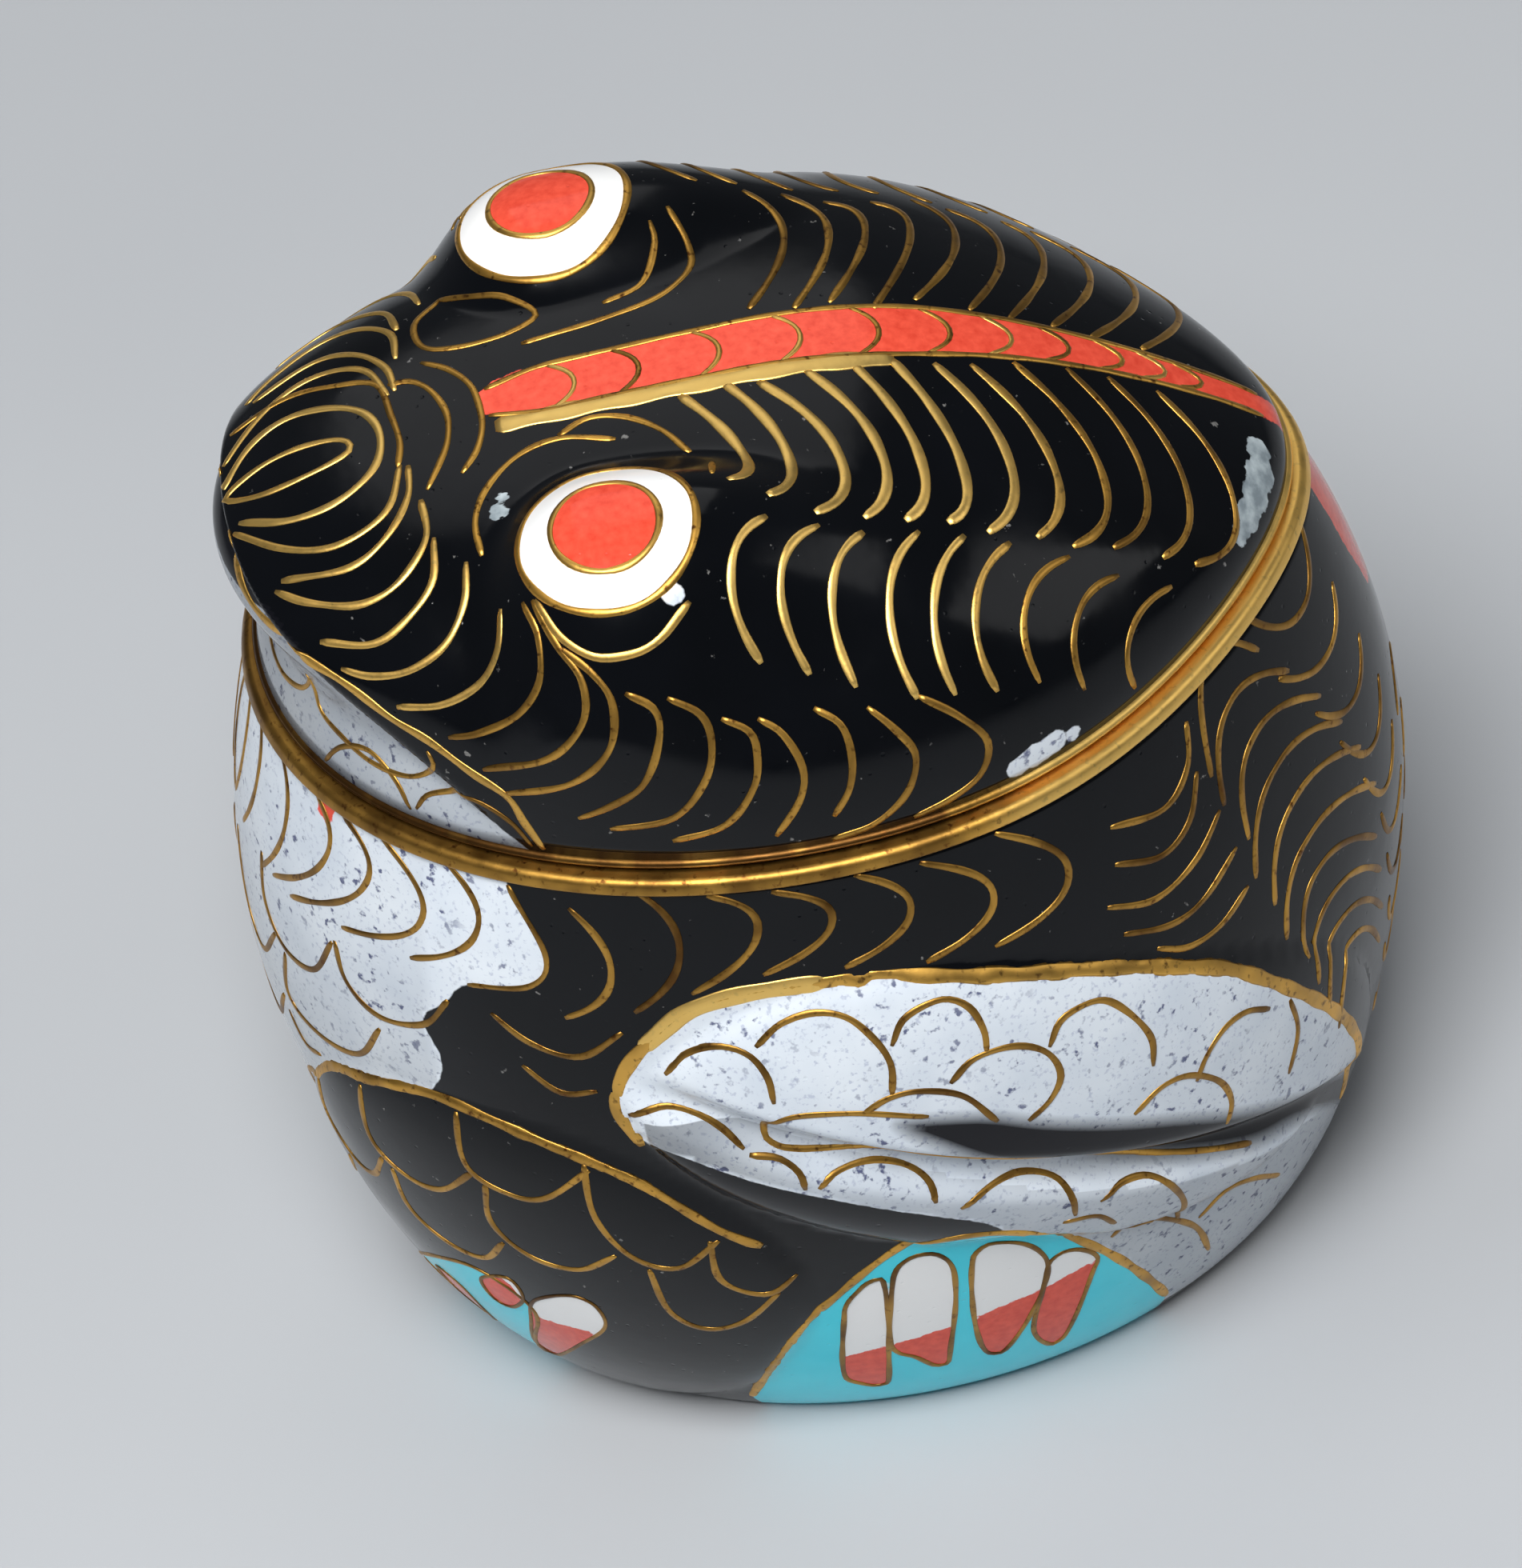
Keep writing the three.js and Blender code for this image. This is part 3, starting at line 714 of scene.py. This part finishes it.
def flank_gauge():
    """Sections across the left half of the lid, each measured down from the midline."""
    rises = np.radians(np.linspace(0, 90, 181))
    angles = np.radians(np.linspace(-90, 90, 361))
    rise, angle = np.meshgrid(rises, angles, indexing="ij")
    grid = lid_point(angle, rise, SKIN, LID_BASE)[0]
    stations = np.arange(-26, 25, GAUGE_STEP)
    sections = []
    for station in stations:
        cut = []
        for row in grid:
            if row[:, 1].min() <= station <= row[:, 1].max():
                order = np.argsort(row[:, 1])
                x = np.interp(station, row[order, 1], row[order, 0])
                z = np.interp(station, row[order, 1], row[order, 2])
                cut.append((x, station, z))
        cut = np.array(cut)[::-1]
        cut = np.concatenate([[(0, station, cut[0, 2])], cut])
        run = np.r_[0, np.cumsum(np.linalg.norm(np.diff(cut, axis=0), axis=1))]
        sections.append((run, cut))
    return stations, sections


flank_stations, flank_sections = flank_gauge()


def on_flank(line):
    """Places (station, distance down the flank) on the lid's left side."""
    placed = []
    for station, down in line:
        at = np.clip((station - flank_stations[0]) / GAUGE_STEP, 0, len(flank_stations) - 1.001)
        k = int(at)
        ends = []
        for run, cut in (flank_sections[k], flank_sections[k + 1]):
            ends.append([np.interp(down, run, cut[:, axis]) for axis in range(3)])
        placed.append(np.array(ends[0]) * (1 - at + k) + np.array(ends[1]) * (at - k))
    return np.array(placed)


DOWN = Vector((0, 0, -1))
OVERHEAD = 80


def from_above(line):
    """Drops (x, y) down onto the lid."""
    placed = []
    for x, y in line:
        hit = lid_tree.ray_cast(Vector((x, y, OVERHEAD)) * MM, DOWN)[0]
        if hit is not None:
            placed.append(np.array(hit) / MM)
    return np.array(placed)


def eye_frame(side):
    """Centre of an eye and the two directions across it."""
    overhead = Vector((side * EYE_MIDDLE[0], EYE_MIDDLE[1], OVERHEAD)) * MM
    centre, normal = lid_tree.ray_cast(overhead, DOWN)[:2]
    across = Vector((0, 1, 0)).cross(normal).normalized()
    return centre / MM, across, normal.cross(across).normalized(), normal


def eye_circle(side, radius):
    """A round wire's places on an eye."""
    centre, across, forward, normal = eye_frame(side)
    placed = []
    for turn in ring(48):
        start = centre + radius * (across * math.cos(turn) + forward * math.sin(turn)) + normal * 4
        placed.append(np.array(lid_tree.ray_cast(start * MM, -normal)[0]) / MM)
    return np.array(placed)


def eye_distance(side):
    """How far the lid's points lie from the middle of an eye."""
    centre, across, forward, normal = eye_frame(side)
    offset = lid_points - np.array(centre)
    far = np.hypot(offset @ np.array(across), offset @ np.array(forward))
    return np.where(np.abs(offset @ np.array(normal)) < EYE_SPREAD, far, -NOWHERE)


eyes = np.minimum(eye_distance(1), eye_distance(-1))
stripe_half = np.interp(lid_points[:, 1], STRIPE_STATIONS, STRIPE_HALF)
stripe = stripe_half - np.abs(lid_points[:, 0] - STRIPE_X)
stripe = np.minimum(stripe, lid_points[:, 1] - STRIPE_STATIONS[0])
stripe = np.where(lid_points[:, 2] > SEAM + STRIPE_FOOT, stripe, NOWHERE)
jaw = np.where(lid_points[:, 1] < LIP_START + 0.4, lid_mouth / math.hypot(1, LIP_SLOPE), NOWHERE)
jaw = np.minimum(jaw, SEAM + JAW_TOP - lid_points[:, 2])


def round_patch(place, radius):
    """A round patch: how far inside it the lid's points lie."""
    return radius - np.linalg.norm(lid_points - place, axis=1)


# White spots: a painted highlight low on the flank, and lost enamel by the brow.
highlights_and_chips = np.full(len(lid_points), NOWHERE)
for station, down, radius in FLANK_HIGHLIGHTS:
    highlights_and_chips = np.maximum(highlights_and_chips, round_patch(on_flank([(station, down)])[0], radius))
highlights_and_chips = np.maximum(highlights_and_chips, round_patch(from_above([BROW_CHIP[:2]])[0], BROW_CHIP[2]))
bare = np.full(len(lid_points), NOWHERE)
for station, down, radius in REAR_BARE:
    bare = np.maximum(bare, round_patch(on_flank([(station, down)])[0], radius))
for x, y, radius in BROW_BARE:
    bare = np.maximum(bare, round_patch(from_above([(x, y)])[0], radius))
lid_fields = {
    "turquoise": np.where(lid_outside, NOWHERE, 2.0),
    "white": np.where(lid_outside, np.maximum.reduce([EYE_RING - eyes, jaw, highlights_and_chips]), NOWHERE),
    "coral": np.where(lid_outside, np.maximum(PUPIL_RING - eyes, stripe), NOWHERE),
    # Painted shade on the jaw under the lip, deepest at the snout.
    "painted_shade": np.where(jaw > -1, np.interp(lid_points[:, 1], (-26, -15), (0.0, -0.25)), NOWHERE),
    "bare": np.where(lid_outside, bare, NOWHERE),
    "clean": EYE_RING + 0.6 - eyes,
}
lid = make_piece("lid_enamel", lid_points, lid_faces, lid_fields)
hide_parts("lid")


# ---- Gilt edges
def corner(out, height, radius, begin, finish):
    """A rounded corner of a rim's section."""
    turns = np.radians(np.linspace(begin, finish, 5))
    return [(out + radius * math.cos(t), height + radius * math.sin(t)) for t in turns]


def bowl_rim_body():
    low = SEAM - BAND_HEIGHT
    inside = -COLLAR_INSET - COLLAR_THICKNESS
    section = corner(BAND_PROUD - 0.25, low + 0.25, 0.25, -90, 0)
    section += corner(BAND_PROUD - 0.3, SEAM - 0.3, 0.3, 0, 90)
    section += [(-COLLAR_INSET + 0.2, SEAM), (-COLLAR_INSET, SEAM + 0.2)]
    section += corner(-COLLAR_INSET - 0.25, SEAM + COLLAR_RISE - 0.25, 0.25, 0, 90)
    section += corner(inside + 0.25, SEAM + COLLAR_RISE - 0.25, 0.25, 90, 180)
    section += [(inside, low)]
    angle = ring(240)
    return closed_body([wall_point(angle, height + 0 * angle, out) for out, height in section])


def lid_rim_body():
    low = PIECE_GAP
    high = low + LID_EDGE
    section = corner(LID_EDGE_PROUD - 0.3, low + 0.3, 0.3, -90, 0)
    section += corner(LID_EDGE_PROUD - 0.3, high - 0.3, 0.3, 0, 90)
    section += [(-LID_WALL, high), (-LID_WALL, low)]
    angle = ring(240)
    rows = [lid_point(angle, 0 * angle, -out, height)[0] for out, height in section]
    return closed_body(rows)


def brighter_to_rear(points, dull, bright):
    """The rims are dull in front and bright from the middle to the rear: partly gilding worn by rubbing,
    partly painted light.
    """
    return {"polish_and_light": dull + (bright - dull) * smooth((points[:, 1] - 3) / 8)}


rim_points, rim_faces = bowl_rim_body()
bowl_rim = make_piece("bowl_band", rim_points, rim_faces, brighter_to_rear(rim_points, 0.2, 0.8))
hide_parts("bowl_rim")
rim_points, rim_faces = lid_rim_body()
lid_rim = make_piece("lid_edge", rim_points, rim_faces, brighter_to_rear(rim_points, -0.35, 0.9))
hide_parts("lid_rim")


# ---- Wires: flat brass ribbon set on edge, ground nearly level with the enamel
WIRE_STEP = 0.35
# The wire's section, (across, up), as shares of its half width and of how proud it is.
WIRE_SECTION = [(-1, -0.5), (-0.7, 0.7), (0, 1), (0.7, 0.7), (1, -0.5)]


class WireWork:
    """All the wires of one shell, gathered into one piece."""

    def __init__(self, tree):
        self.tree = tree
        self.points = []
        self.faces = []
        self.polish_and_light = []
        self.count = 0

    def lay(self, line, width=0.4, proud=0.07, closed=False, bright=None):
        """Lays a wire over the surface along a line of places on it."""
        line = np.asarray(line)
        length = np.linalg.norm(np.diff(line, axis=0), axis=1).sum()
        places = curve(line, max(int(length / WIRE_STEP), 6), closed)
        if closed:
            places = places[:-1]
        spots = []
        normals = []
        for place in places:
            spot, normal = self.tree.find_nearest(Vector(place) * MM)[:2]
            spots.append(np.array(spot) / MM)
            normals.append(np.array(normal))
        spots = np.array(spots)
        normals = np.array(normals)
        count = len(spots)
        if closed:
            ahead = np.roll(spots, -1, 0) - np.roll(spots, 1, 0)
        else:
            ahead = np.gradient(spots, axis=0)
        ahead /= np.maximum(np.linalg.norm(ahead, axis=1, keepdims=True), 1e-9)
        across = np.cross(normals, ahead)
        across /= np.maximum(np.linalg.norm(across, axis=1, keepdims=True), 1e-9)
        run = np.arange(count) * WIRE_STEP
        taper = np.ones(count) if closed else smooth(0.55 + np.minimum(run, run[::-1]) / 1.2)
        uneven = 1 + 0.14 * np.sin(run * 1.9 + chance.uniform(0, 6)) * chance.uniform(0.4, 1)
        half = (width / 2 * taper * uneven)[:, None]
        lift = (proud * taper)[:, None]
        rows = np.stack([spots + across * half * s + normals * lift * h for s, h in WIRE_SECTION], 1)
        self.points.append(rows.reshape(-1, 3))
        sides = len(WIRE_SECTION)
        for k in range(count if closed else count - 1):
            here = self.count + sides * k
            there = self.count + sides * ((k + 1) % count)
            for m in range(sides):
                beside = (m + 1) % sides
                self.faces.append((here + m, there + m, there + beside, here + beside))
        if not closed:
            end = self.count + sides * (count - 1)
            self.faces.append(tuple(self.count + m for m in range(sides)))
            self.faces.append(tuple(end + m for m in reversed(range(sides))))
        polish_and_light = chance.uniform(0, 1) if bright is None else bright
        self.polish_and_light.append(np.full(sides * count, polish_and_light))
        self.count += sides * count

    def piece(self, name):
        fields = {"polish_and_light": np.concatenate(self.polish_and_light)}
        return make_piece(name, np.concatenate(self.points), self.faces, fields)


def on_wall(line, side):
    """Places (along, height) on the bowl's left side or mirrored on its right."""
    line = np.asarray(line, float)
    angle = np.radians(line[:, 0] / ALONG_PER_DEGREE)
    angle = angle if side > 0 else math.pi - angle
    return wall_point(angle, line[:, 1], leg_relief(angle, line[:, 1]) - SKIN)


bowl_wires = WireWork(bowl_tree)
# The bowl's wires: their brightness is partly worn gilding and partly painted light, dull where less light
# reached the bowl and bright on the thigh's top edge.
for side in (1, -1):
    for row in (BAND_ROW, RUMP_ROW, REAR_ROW, MIDDLE_ROW):
        for line in row_of_bows(**row):
            bowl_wires.lay(on_wall(line, side), width=0.46, bright=chance.uniform(0, 0.22))
    for start, belly, end in CHEST_BOWS:
        bowl_wires.lay(on_wall(bow(start, belly, end), side), width=0.4, bright=0.1)
    for line in CHEST_PETALS + THIGH_PETALS + SHANK_PETALS:
        bowl_wires.lay(on_wall(curve(line, 24), side), width=0.42, bright=0.1)
    for line in FORE_SCALES + RUMP_SMILES + HAUNCH_LINES:
        bowl_wires.lay(on_wall(curve(line, 24), side), width=0.44, bright=chance.uniform(0, 0.3))
    for toe in HIND_TOES + FORE_TOES:
        thick = 0.34 if toe in HIND_TOES else 0.26
        bowl_wires.lay(on_wall(curve(toe, 30, closed=True)[:-1], side), width=thick, closed=True, bright=0.0)
    for line, thick, rub_and_light in (
        (thigh_edge, 0.85, 0.55), (thigh_shoulder, 1.15, 0.9), (curve(LOOP, 50), 0.4, 0.25),
        (curve(CHEST_SIDE[1:5], 24), 0.36, 0.15), (curve(FORELEG_EDGE, 50), 0.65, 0.4),
        (curve(FORELEG_FRONT, 30), 0.45, 0.2), (curve(HIND_WINDOW, 50), 0.6, 0.4),
        (curve(FORE_WINDOW, 50), 0.3, 0.1),
    ):
        bowl_wires.lay(on_wall(line, side), width=thick, bright=rub_and_light)
bowl_wirework = bowl_wires.piece("bowl_wires")

lid_wires = WireWork(lid_tree)
for side in (1, -1):
    mirror = np.array((side, 1, 1))
    for row, thick in ((STRIPE_ROW, 0.66), (FLANK_ROW, 0.52)):
        bows = row_of_bows(**row)
        # The brow's own lines take the place of the first two on its right.
        for line in bows[2:] if side < 0 and row is STRIPE_ROW else bows:
            # On the near side the flank rows are brighter towards the front, and the far side's are dull:
            # partly worn gilding, partly painted highlight.
            rub_and_light = float(np.interp(line[0][0], (9, 15), (0.9, 0.25))) if side > 0 else 0.25
            lid_wires.lay(on_flank(line) * mirror, width=0.4 + (thick - 0.4) * rub_and_light, bright=rub_and_light)
    for line in CHEEK_ARCS + SNOUT_ARCS:
        # Arcs that end high on the lid are brighter: partly worn gilding, partly painted highlight.
        rub_and_light = 0.8 if line[-1][2] > 7.5 else 0.3
        lid_wires.lay((curve(line, 30) + (0, 0, SEAM)) * mirror, width=0.44, bright=rub_and_light)
    for line in JAW_PETALS:
        lid_wires.lay((curve(line, 30) + (0, 0, SEAM)) * mirror, width=0.34, bright=0.2)
    lid_wires.lay(from_above(curve(EYE_UNDER, 30)) * mirror, width=0.5, bright=0.7)
    lid_wires.lay(np.array(LIP_LINE) * mirror + (0, 0, SEAM), width=0.55, bright=0.6)
    lid_wires.lay(eye_circle(side, EYE_RING), width=0.45, closed=True, bright=0.5)
    lid_wires.lay(eye_circle(side, PUPIL_RING), width=0.4, closed=True, bright=0.6)
    stations = np.linspace(STRIPE_STATIONS[0] + 0.4, STRIPE_STATIONS[-1] + 0.5, 15)
    edge = [(side * np.interp(y, STRIPE_STATIONS, STRIPE_HALF) + STRIPE_X, y) for y in stations]
    lid_wires.lay(from_above(edge), width=0.4, bright=0.5)
for line in NOSE_ARCS + NEAR_BROW + FAR_BROW:
    lid_wires.lay(from_above(curve(line, 40)), bright=0.5)
lid_wires.lay(from_above(curve(NOSTRIL, 30, closed=True)[:-1]), closed=True, bright=0.8)
lid_wires.lay(from_above(curve(NOSE_LOOP, 40)), width=0.5, bright=0.9)
for station in STRIPE_CELLS:
    half = float(np.interp(station, STRIPE_STATIONS, STRIPE_HALF))
    left, right = ((STRIPE_X + side * half, station - 1.3) for side in (1, -1))
    lid_wires.lay(from_above(bow(left, (STRIPE_X, station), right)), width=0.32)
lid_wires.lay(from_above(curve(SMEAR, 40)), width=1.3, bright=1.0)
lid_wirework = lid_wires.piece("lid_wires")


# ---- Finishes
def linear(code):
    parts = [int(code[k:k + 2], 16) / 255 for k in (1, 3, 5)]
    return [p / 12.92 if p <= 0.04045 else ((p + 0.055) / 1.055) ** 2.4 for p in parts] + [1.0]


def add_node(material, kind, inputs=None, **settings):
    """Adds one node with its settings; an input is a socket to link or a value to set."""
    made = material.node_tree.nodes.new(kind)
    for name, value in settings.items():
        setattr(made, name, value)
    for name, value in (inputs or {}).items():
        if isinstance(value, bpy.types.NodeSocket):
            material.node_tree.links.new(value, made.inputs[name])
        else:
            made.inputs[name].default_value = value
    return made


def new_material(name):
    material = bpy.data.materials.new(name)
    material.use_nodes = True
    material.node_tree.nodes.clear()
    return material


def finish_material(material, shader):
    add_node(material, "ShaderNodeOutputMaterial", {"Surface": shader.outputs["BSDF"]})
    return material


def per_mm(size):
    """Texture scale for a pattern whose cells are this many millimetres across."""
    return 1 / (size * MM)


# Patterns in the enamel: cells in mm, fineness, and the stretch of the noise that they show.
# The finest grains are smaller than this, and are drawn coarse enough to show.
ENAMEL_PATTERNS = {
    "depth": (7.0, 2.0, 0.0, 1.0),
    "sheen": (3.0, 2.0, 0.0, 1.0),
    "milk": (4.0, 2.0, 0.0, 1.0),
    "grit": (0.5, 4.0, 0.0, 1.0),
    "lumps": (0.9, 4.0, 0.35, 0.65),
    "rag": (0.5, 2.0, 0.0, 1.0),
    "ripple": (2.2, 2.0, 0.0, 1.0),
    "haze": (5.0, 3.0, 0.35, 0.75),
    "drift": (5.0, 2.0, 0.3, 0.55),
    "specks": (0.6, 4.0, 0.6, 0.675),
    "grains": (0.28, 3.0, 0.575, 0.68),
    "dust": (0.6, 5.0, 0.71, 0.76),
}
# Each colour of glass, and the patterns that change it.
GLASSES = {
    "black": ("#030405", (("depth", "#090b10"), ("dust", "#6f6e6c"))),
    "turquoise": ("#35cfe4", (("sheen", "#55dff0"),)),
    "white": ("#c3cdd9", (
        ("milk", "#e7edf2"), ("clean", "#f1f1f0"), ("grains", "#bcc4d3"), ("specks", "#5b6180"),
    )),
    "coral": ("#c4301f", (("grit", "#f5624a"),)),
    "bare": ("#7c878d", (("lumps", "#b1bcc0"),)),
}
# How far each colour runs raggedly along its wires, in mm, and how softly it ends.
RAGGED = {"turquoise": 0.16, "white": 0.16, "coral": 0.5, "bare": 0.6}
SOFT_EDGE = 0.04


def glass_enamel(name):
    """Fired glass enamel, ground and polished: deep, glossy cells of plain colour with the
    grains and pinholes that grinding opens."""
    material = new_material(name)
    place = add_node(material, "ShaderNodeTexCoord").outputs["Object"]
    seen = {}
    for pattern, (cell, detail, low, high) in ENAMEL_PATTERNS.items():
        noise = add_node(material, "ShaderNodeTexNoise", {
            "Vector": place, "Scale": per_mm(cell), "Detail": detail,
        })
        seen[pattern] = add_node(material, "ShaderNodeMapRange", {
            "Value": noise.outputs["Fac"], "From Min": low, "From Max": high,
        }).outputs["Result"]
    # A pinhole of about 0.1 mm in each cell of 1.1 mm.
    cells = add_node(material, "ShaderNodeTexVoronoi", {"Vector": place, "Scale": per_mm(1.1)})
    clean = add_node(material, "ShaderNodeAttribute", attribute_name="clean").outputs["Fac"]
    painted_shade = add_node(material, "ShaderNodeAttribute", attribute_name="painted_shade").outputs["Fac"]
    for pattern, value, low, high in (
        ("pinholes", cells.outputs["Distance"], 0.05, 0.11),
        ("clean", clean, 0.0, 0.3),
        ("dirty", clean, 0.3, 0.0),
        ("painted_shade", painted_shade, -0.6, 0.4),
    ):
        seen[pattern] = add_node(material, "ShaderNodeMapRange", {
            "Value": value, "From Min": low, "From Max": high,
        }).outputs["Result"]
    # Ragged specks of 0.1 to 0.4 mm in clusters over about 5 mm, and none where it was kept clean.
    for pattern, limit in (("specks", "drift"), ("specks", "dirty"), ("grains", "dirty")):
        both = {0: seen[pattern], 1: seen[limit]}
        seen[pattern] = add_node(material, "ShaderNodeMath", both, operation="MULTIPLY").outputs[0]

    glass = {}
    for kind, (base, layers) in GLASSES.items():
        glass[kind] = linear(base)
        for pattern, code in layers:
            layer = {0: seen[pattern], 6: glass[kind], 7: linear(code)}
            glass[kind] = add_node(material, "ShaderNodeMix", layer, data_type="RGBA").outputs[2]
    colour = glass["black"]
    for kind, rag in RAGGED.items():
        field = add_node(material, "ShaderNodeAttribute", attribute_name=kind).outputs["Fac"]
        ragged = {0: seen["rag"], 1: rag, 2: field}
        reach = add_node(material, "ShaderNodeMath", ragged, operation="MULTIPLY_ADD").outputs[0]
        inside = add_node(material, "ShaderNodeMapRange", {
            "Value": reach, "From Min": rag / 2 - SOFT_EDGE, "From Max": rag / 2 + SOFT_EDGE,
        }).outputs["Result"]
        layer = {0: inside, 6: colour, 7: glass[kind]}
        colour = add_node(material, "ShaderNodeMix", layer, data_type="RGBA").outputs[2]
    # Painted shade: the colour darkens towards #121217 as the painted-shade field rises.
    layer = {0: seen["painted_shade"], 6: colour, 7: linear("#121217")}
    colour = add_node(material, "ShaderNodeMix", layer, data_type="RGBA").outputs[2]

    gloss = add_node(material, "ShaderNodeMapRange", {
        "Value": seen["haze"], "To Min": 0.09, "To Max": 0.24,
    }).outputs["Result"]
    hollows = {0: seen["pinholes"], 1: seen["ripple"]}
    height = add_node(material, "ShaderNodeMath", hollows, operation="ADD").outputs[0]
    bump = add_node(material, "ShaderNodeBump", {
        "Height": height, "Strength": 0.25, "Distance": 0.06 * MM,
    }).outputs["Normal"]
    shader = add_node(material, "ShaderNodeBsdfPrincipled", {
        "Base Color": colour, "Roughness": gloss, "IOR": 1.5, "Specular IOR Level": 0.22,
        "Normal": bump,
    })
    return finish_material(material, shader)


def gilt_brass(name):
    """Brass wire and strip, gilded and then worn back by rubbing: bright where it is touched and, as
    painted light, where light falls on it, with brown tarnish left in the low places."""
    material = new_material(name)
    place = add_node(material, "ShaderNodeTexCoord").outputs["Object"]
    polish_and_light = add_node(material, "ShaderNodeAttribute", attribute_name="polish_and_light").outputs["Fac"]
    seen = {}
    for pattern, cell, low, high in (
        ("patches", 3.5, 0.36, 0.6),
        ("tarnish", 0.4, 0.58, 0.72),
        ("wear", 1.2, 0.0, 1.0),
        ("dents", 0.6, 0.0, 1.0),
    ):
        noise = add_node(material, "ShaderNodeTexNoise", {
            "Vector": place, "Scale": per_mm(cell), "Detail": 3.0,
        })
        seen[pattern] = add_node(material, "ShaderNodeMapRange", {
            "Value": noise.outputs["Fac"], "From Min": low, "From Max": high,
        }).outputs["Result"]
    rub_and_light = {0: seen["patches"], 1: 0.5, 2: polish_and_light}
    seen["gilding"] = add_node(
        material, "ShaderNodeMath", rub_and_light, operation="MULTIPLY_ADD", use_clamp=True,
    ).outputs[0]
    seen["burnish_and_highlight"] = add_node(material, "ShaderNodeMapRange", {
        "Value": polish_and_light, "From Min": 0.5, "From Max": 1.0,
    }).outputs["Result"]
    # The brightest gold, #ffd67c on the most polished wire, is partly burnished gilding and partly a painted
    # highlight.
    colour = linear("#5f4120")
    for pattern, code in (("gilding", "#e2ae52"), ("tarnish", "#6a4420"), ("burnish_and_highlight", "#ffd67c")):
        layer = {0: seen[pattern], 6: colour, 7: linear(code)}
        colour = add_node(material, "ShaderNodeMix", layer, data_type="RGBA").outputs[2]
    rough = add_node(material, "ShaderNodeMapRange", {
        "Value": seen["wear"], "To Min": 0.28, "To Max": 0.55,
    }).outputs["Result"]
    bump = add_node(material, "ShaderNodeBump", {
        "Height": seen["dents"], "Strength": 0.35, "Distance": 0.05 * MM,
    }).outputs["Normal"]
    shader = add_node(material, "ShaderNodeBsdfPrincipled", {
        "Base Color": colour, "Metallic": 1.0, "Roughness": rough, "Normal": bump,
    })
    return finish_material(material, shader)


def pale_paper(name):
    """Matt studio paper: pale, with a faint cloudiness."""
    material = new_material(name)
    place = add_node(material, "ShaderNodeTexCoord").outputs["Object"]
    noise = add_node(material, "ShaderNodeTexNoise", {"Vector": place, "Scale": per_mm(60)})
    layer = {0: noise.outputs["Fac"], 6: linear("#b3b6ba"), 7: linear("#bbbec1")}
    cloudy = add_node(material, "ShaderNodeMix", layer, data_type="RGBA").outputs[2]
    shader = add_node(material, "ShaderNodeBsdfPrincipled", {"Base Color": cloudy, "Roughness": 0.8})
    return finish_material(material, shader)


bowl.data.materials.append(glass_enamel("bowl_glass_enamel"))
lid.data.materials.append(glass_enamel("lid_glass_enamel"))
gilt = gilt_brass("gilt_brass")
for piece in (bowl_rim, lid_rim, bowl_wirework, lid_wirework):
    piece.data.materials.append(gilt)

# ---- Floor, lights and camera
floor_mesh = bpy.data.meshes.new("floor")
floor_mesh.from_pydata([(-3, -3, 0), (3, -3, 0), (3, 3, 0), (-3, 3, 0)], [], [(0, 1, 2, 3)])
floor = bpy.data.objects.new("floor", floor_mesh)
bpy.context.scene.collection.objects.link(floor)
floor.data.materials.append(pale_paper("pale_paper"))

TARGET = Vector((0, -3, 27.78)) * MM
VIEW_AZIMUTH = 90
VIEW_ELEVATION = 46
VIEW_ROLL = math.radians(12)
VIEW_DISTANCE = 420 * MM


def direction(azimuth, elevation):
    """From the target outwards; azimuth 0 is in front of the frog and 90 on its left."""
    a = math.radians(azimuth)
    e = math.radians(elevation)
    return Vector((math.sin(a) * math.cos(e), -math.cos(a) * math.cos(e), math.sin(e)))


def softbox(name, azimuth, elevation, distance, size, power):
    """A square studio light aimed at the box."""
    lamp = bpy.data.lights.new(name, "AREA")
    lamp.size = size
    lamp.energy = power
    holder = bpy.data.objects.new(name, lamp)
    holder.location = TARGET + direction(azimuth, elevation) * distance
    holder.rotation_euler = direction(azimuth, elevation).to_track_quat("Z", "Y").to_euler()
    bpy.context.scene.collection.objects.link(holder)
    return holder


# Azimuth and elevation in degrees, distance and size in metres, power in watts.
softbox("key_softbox", 75, 62, 0.5, 0.22, 2.7)
# The fill lights the front without showing as a patch in the glossy black.
softbox("fill_softbox", 10, 40, 0.6, 0.3, 0.8).visible_glossy = False
softbox("rear_softbox", 168, 34, 0.6, 0.32, 0.4)
softbox("far_softbox", 268, 50, 0.6, 0.4, 0.45)

world = bpy.data.worlds.new("studio")
world.use_nodes = True
world.node_tree.nodes["Background"].inputs["Color"].default_value = linear("#e6ebf2")
world.node_tree.nodes["Background"].inputs["Strength"].default_value = 0.14
bpy.context.scene.world = world
bpy.context.scene.view_settings.view_transform = "Standard"

lens = bpy.data.cameras.new("camera")
lens.sensor_width = 36
lens.lens = 188.2
camera = bpy.data.objects.new("camera", lens)
bpy.context.scene.collection.objects.link(camera)
back = direction(VIEW_AZIMUTH, VIEW_ELEVATION)
right = (-back).cross(Vector((0, 0, 1))).normalized()
up = right.cross(-back).normalized()
level = right * math.cos(VIEW_ROLL) - up * math.sin(VIEW_ROLL)
upright = right * math.sin(VIEW_ROLL) + up * math.cos(VIEW_ROLL)
facing = Matrix((level, upright, back)).transposed().to_4x4()
camera.matrix_world = Matrix.Translation(TARGET + back * VIEW_DISTANCE) @ facing
bpy.context.scene.camera = camera
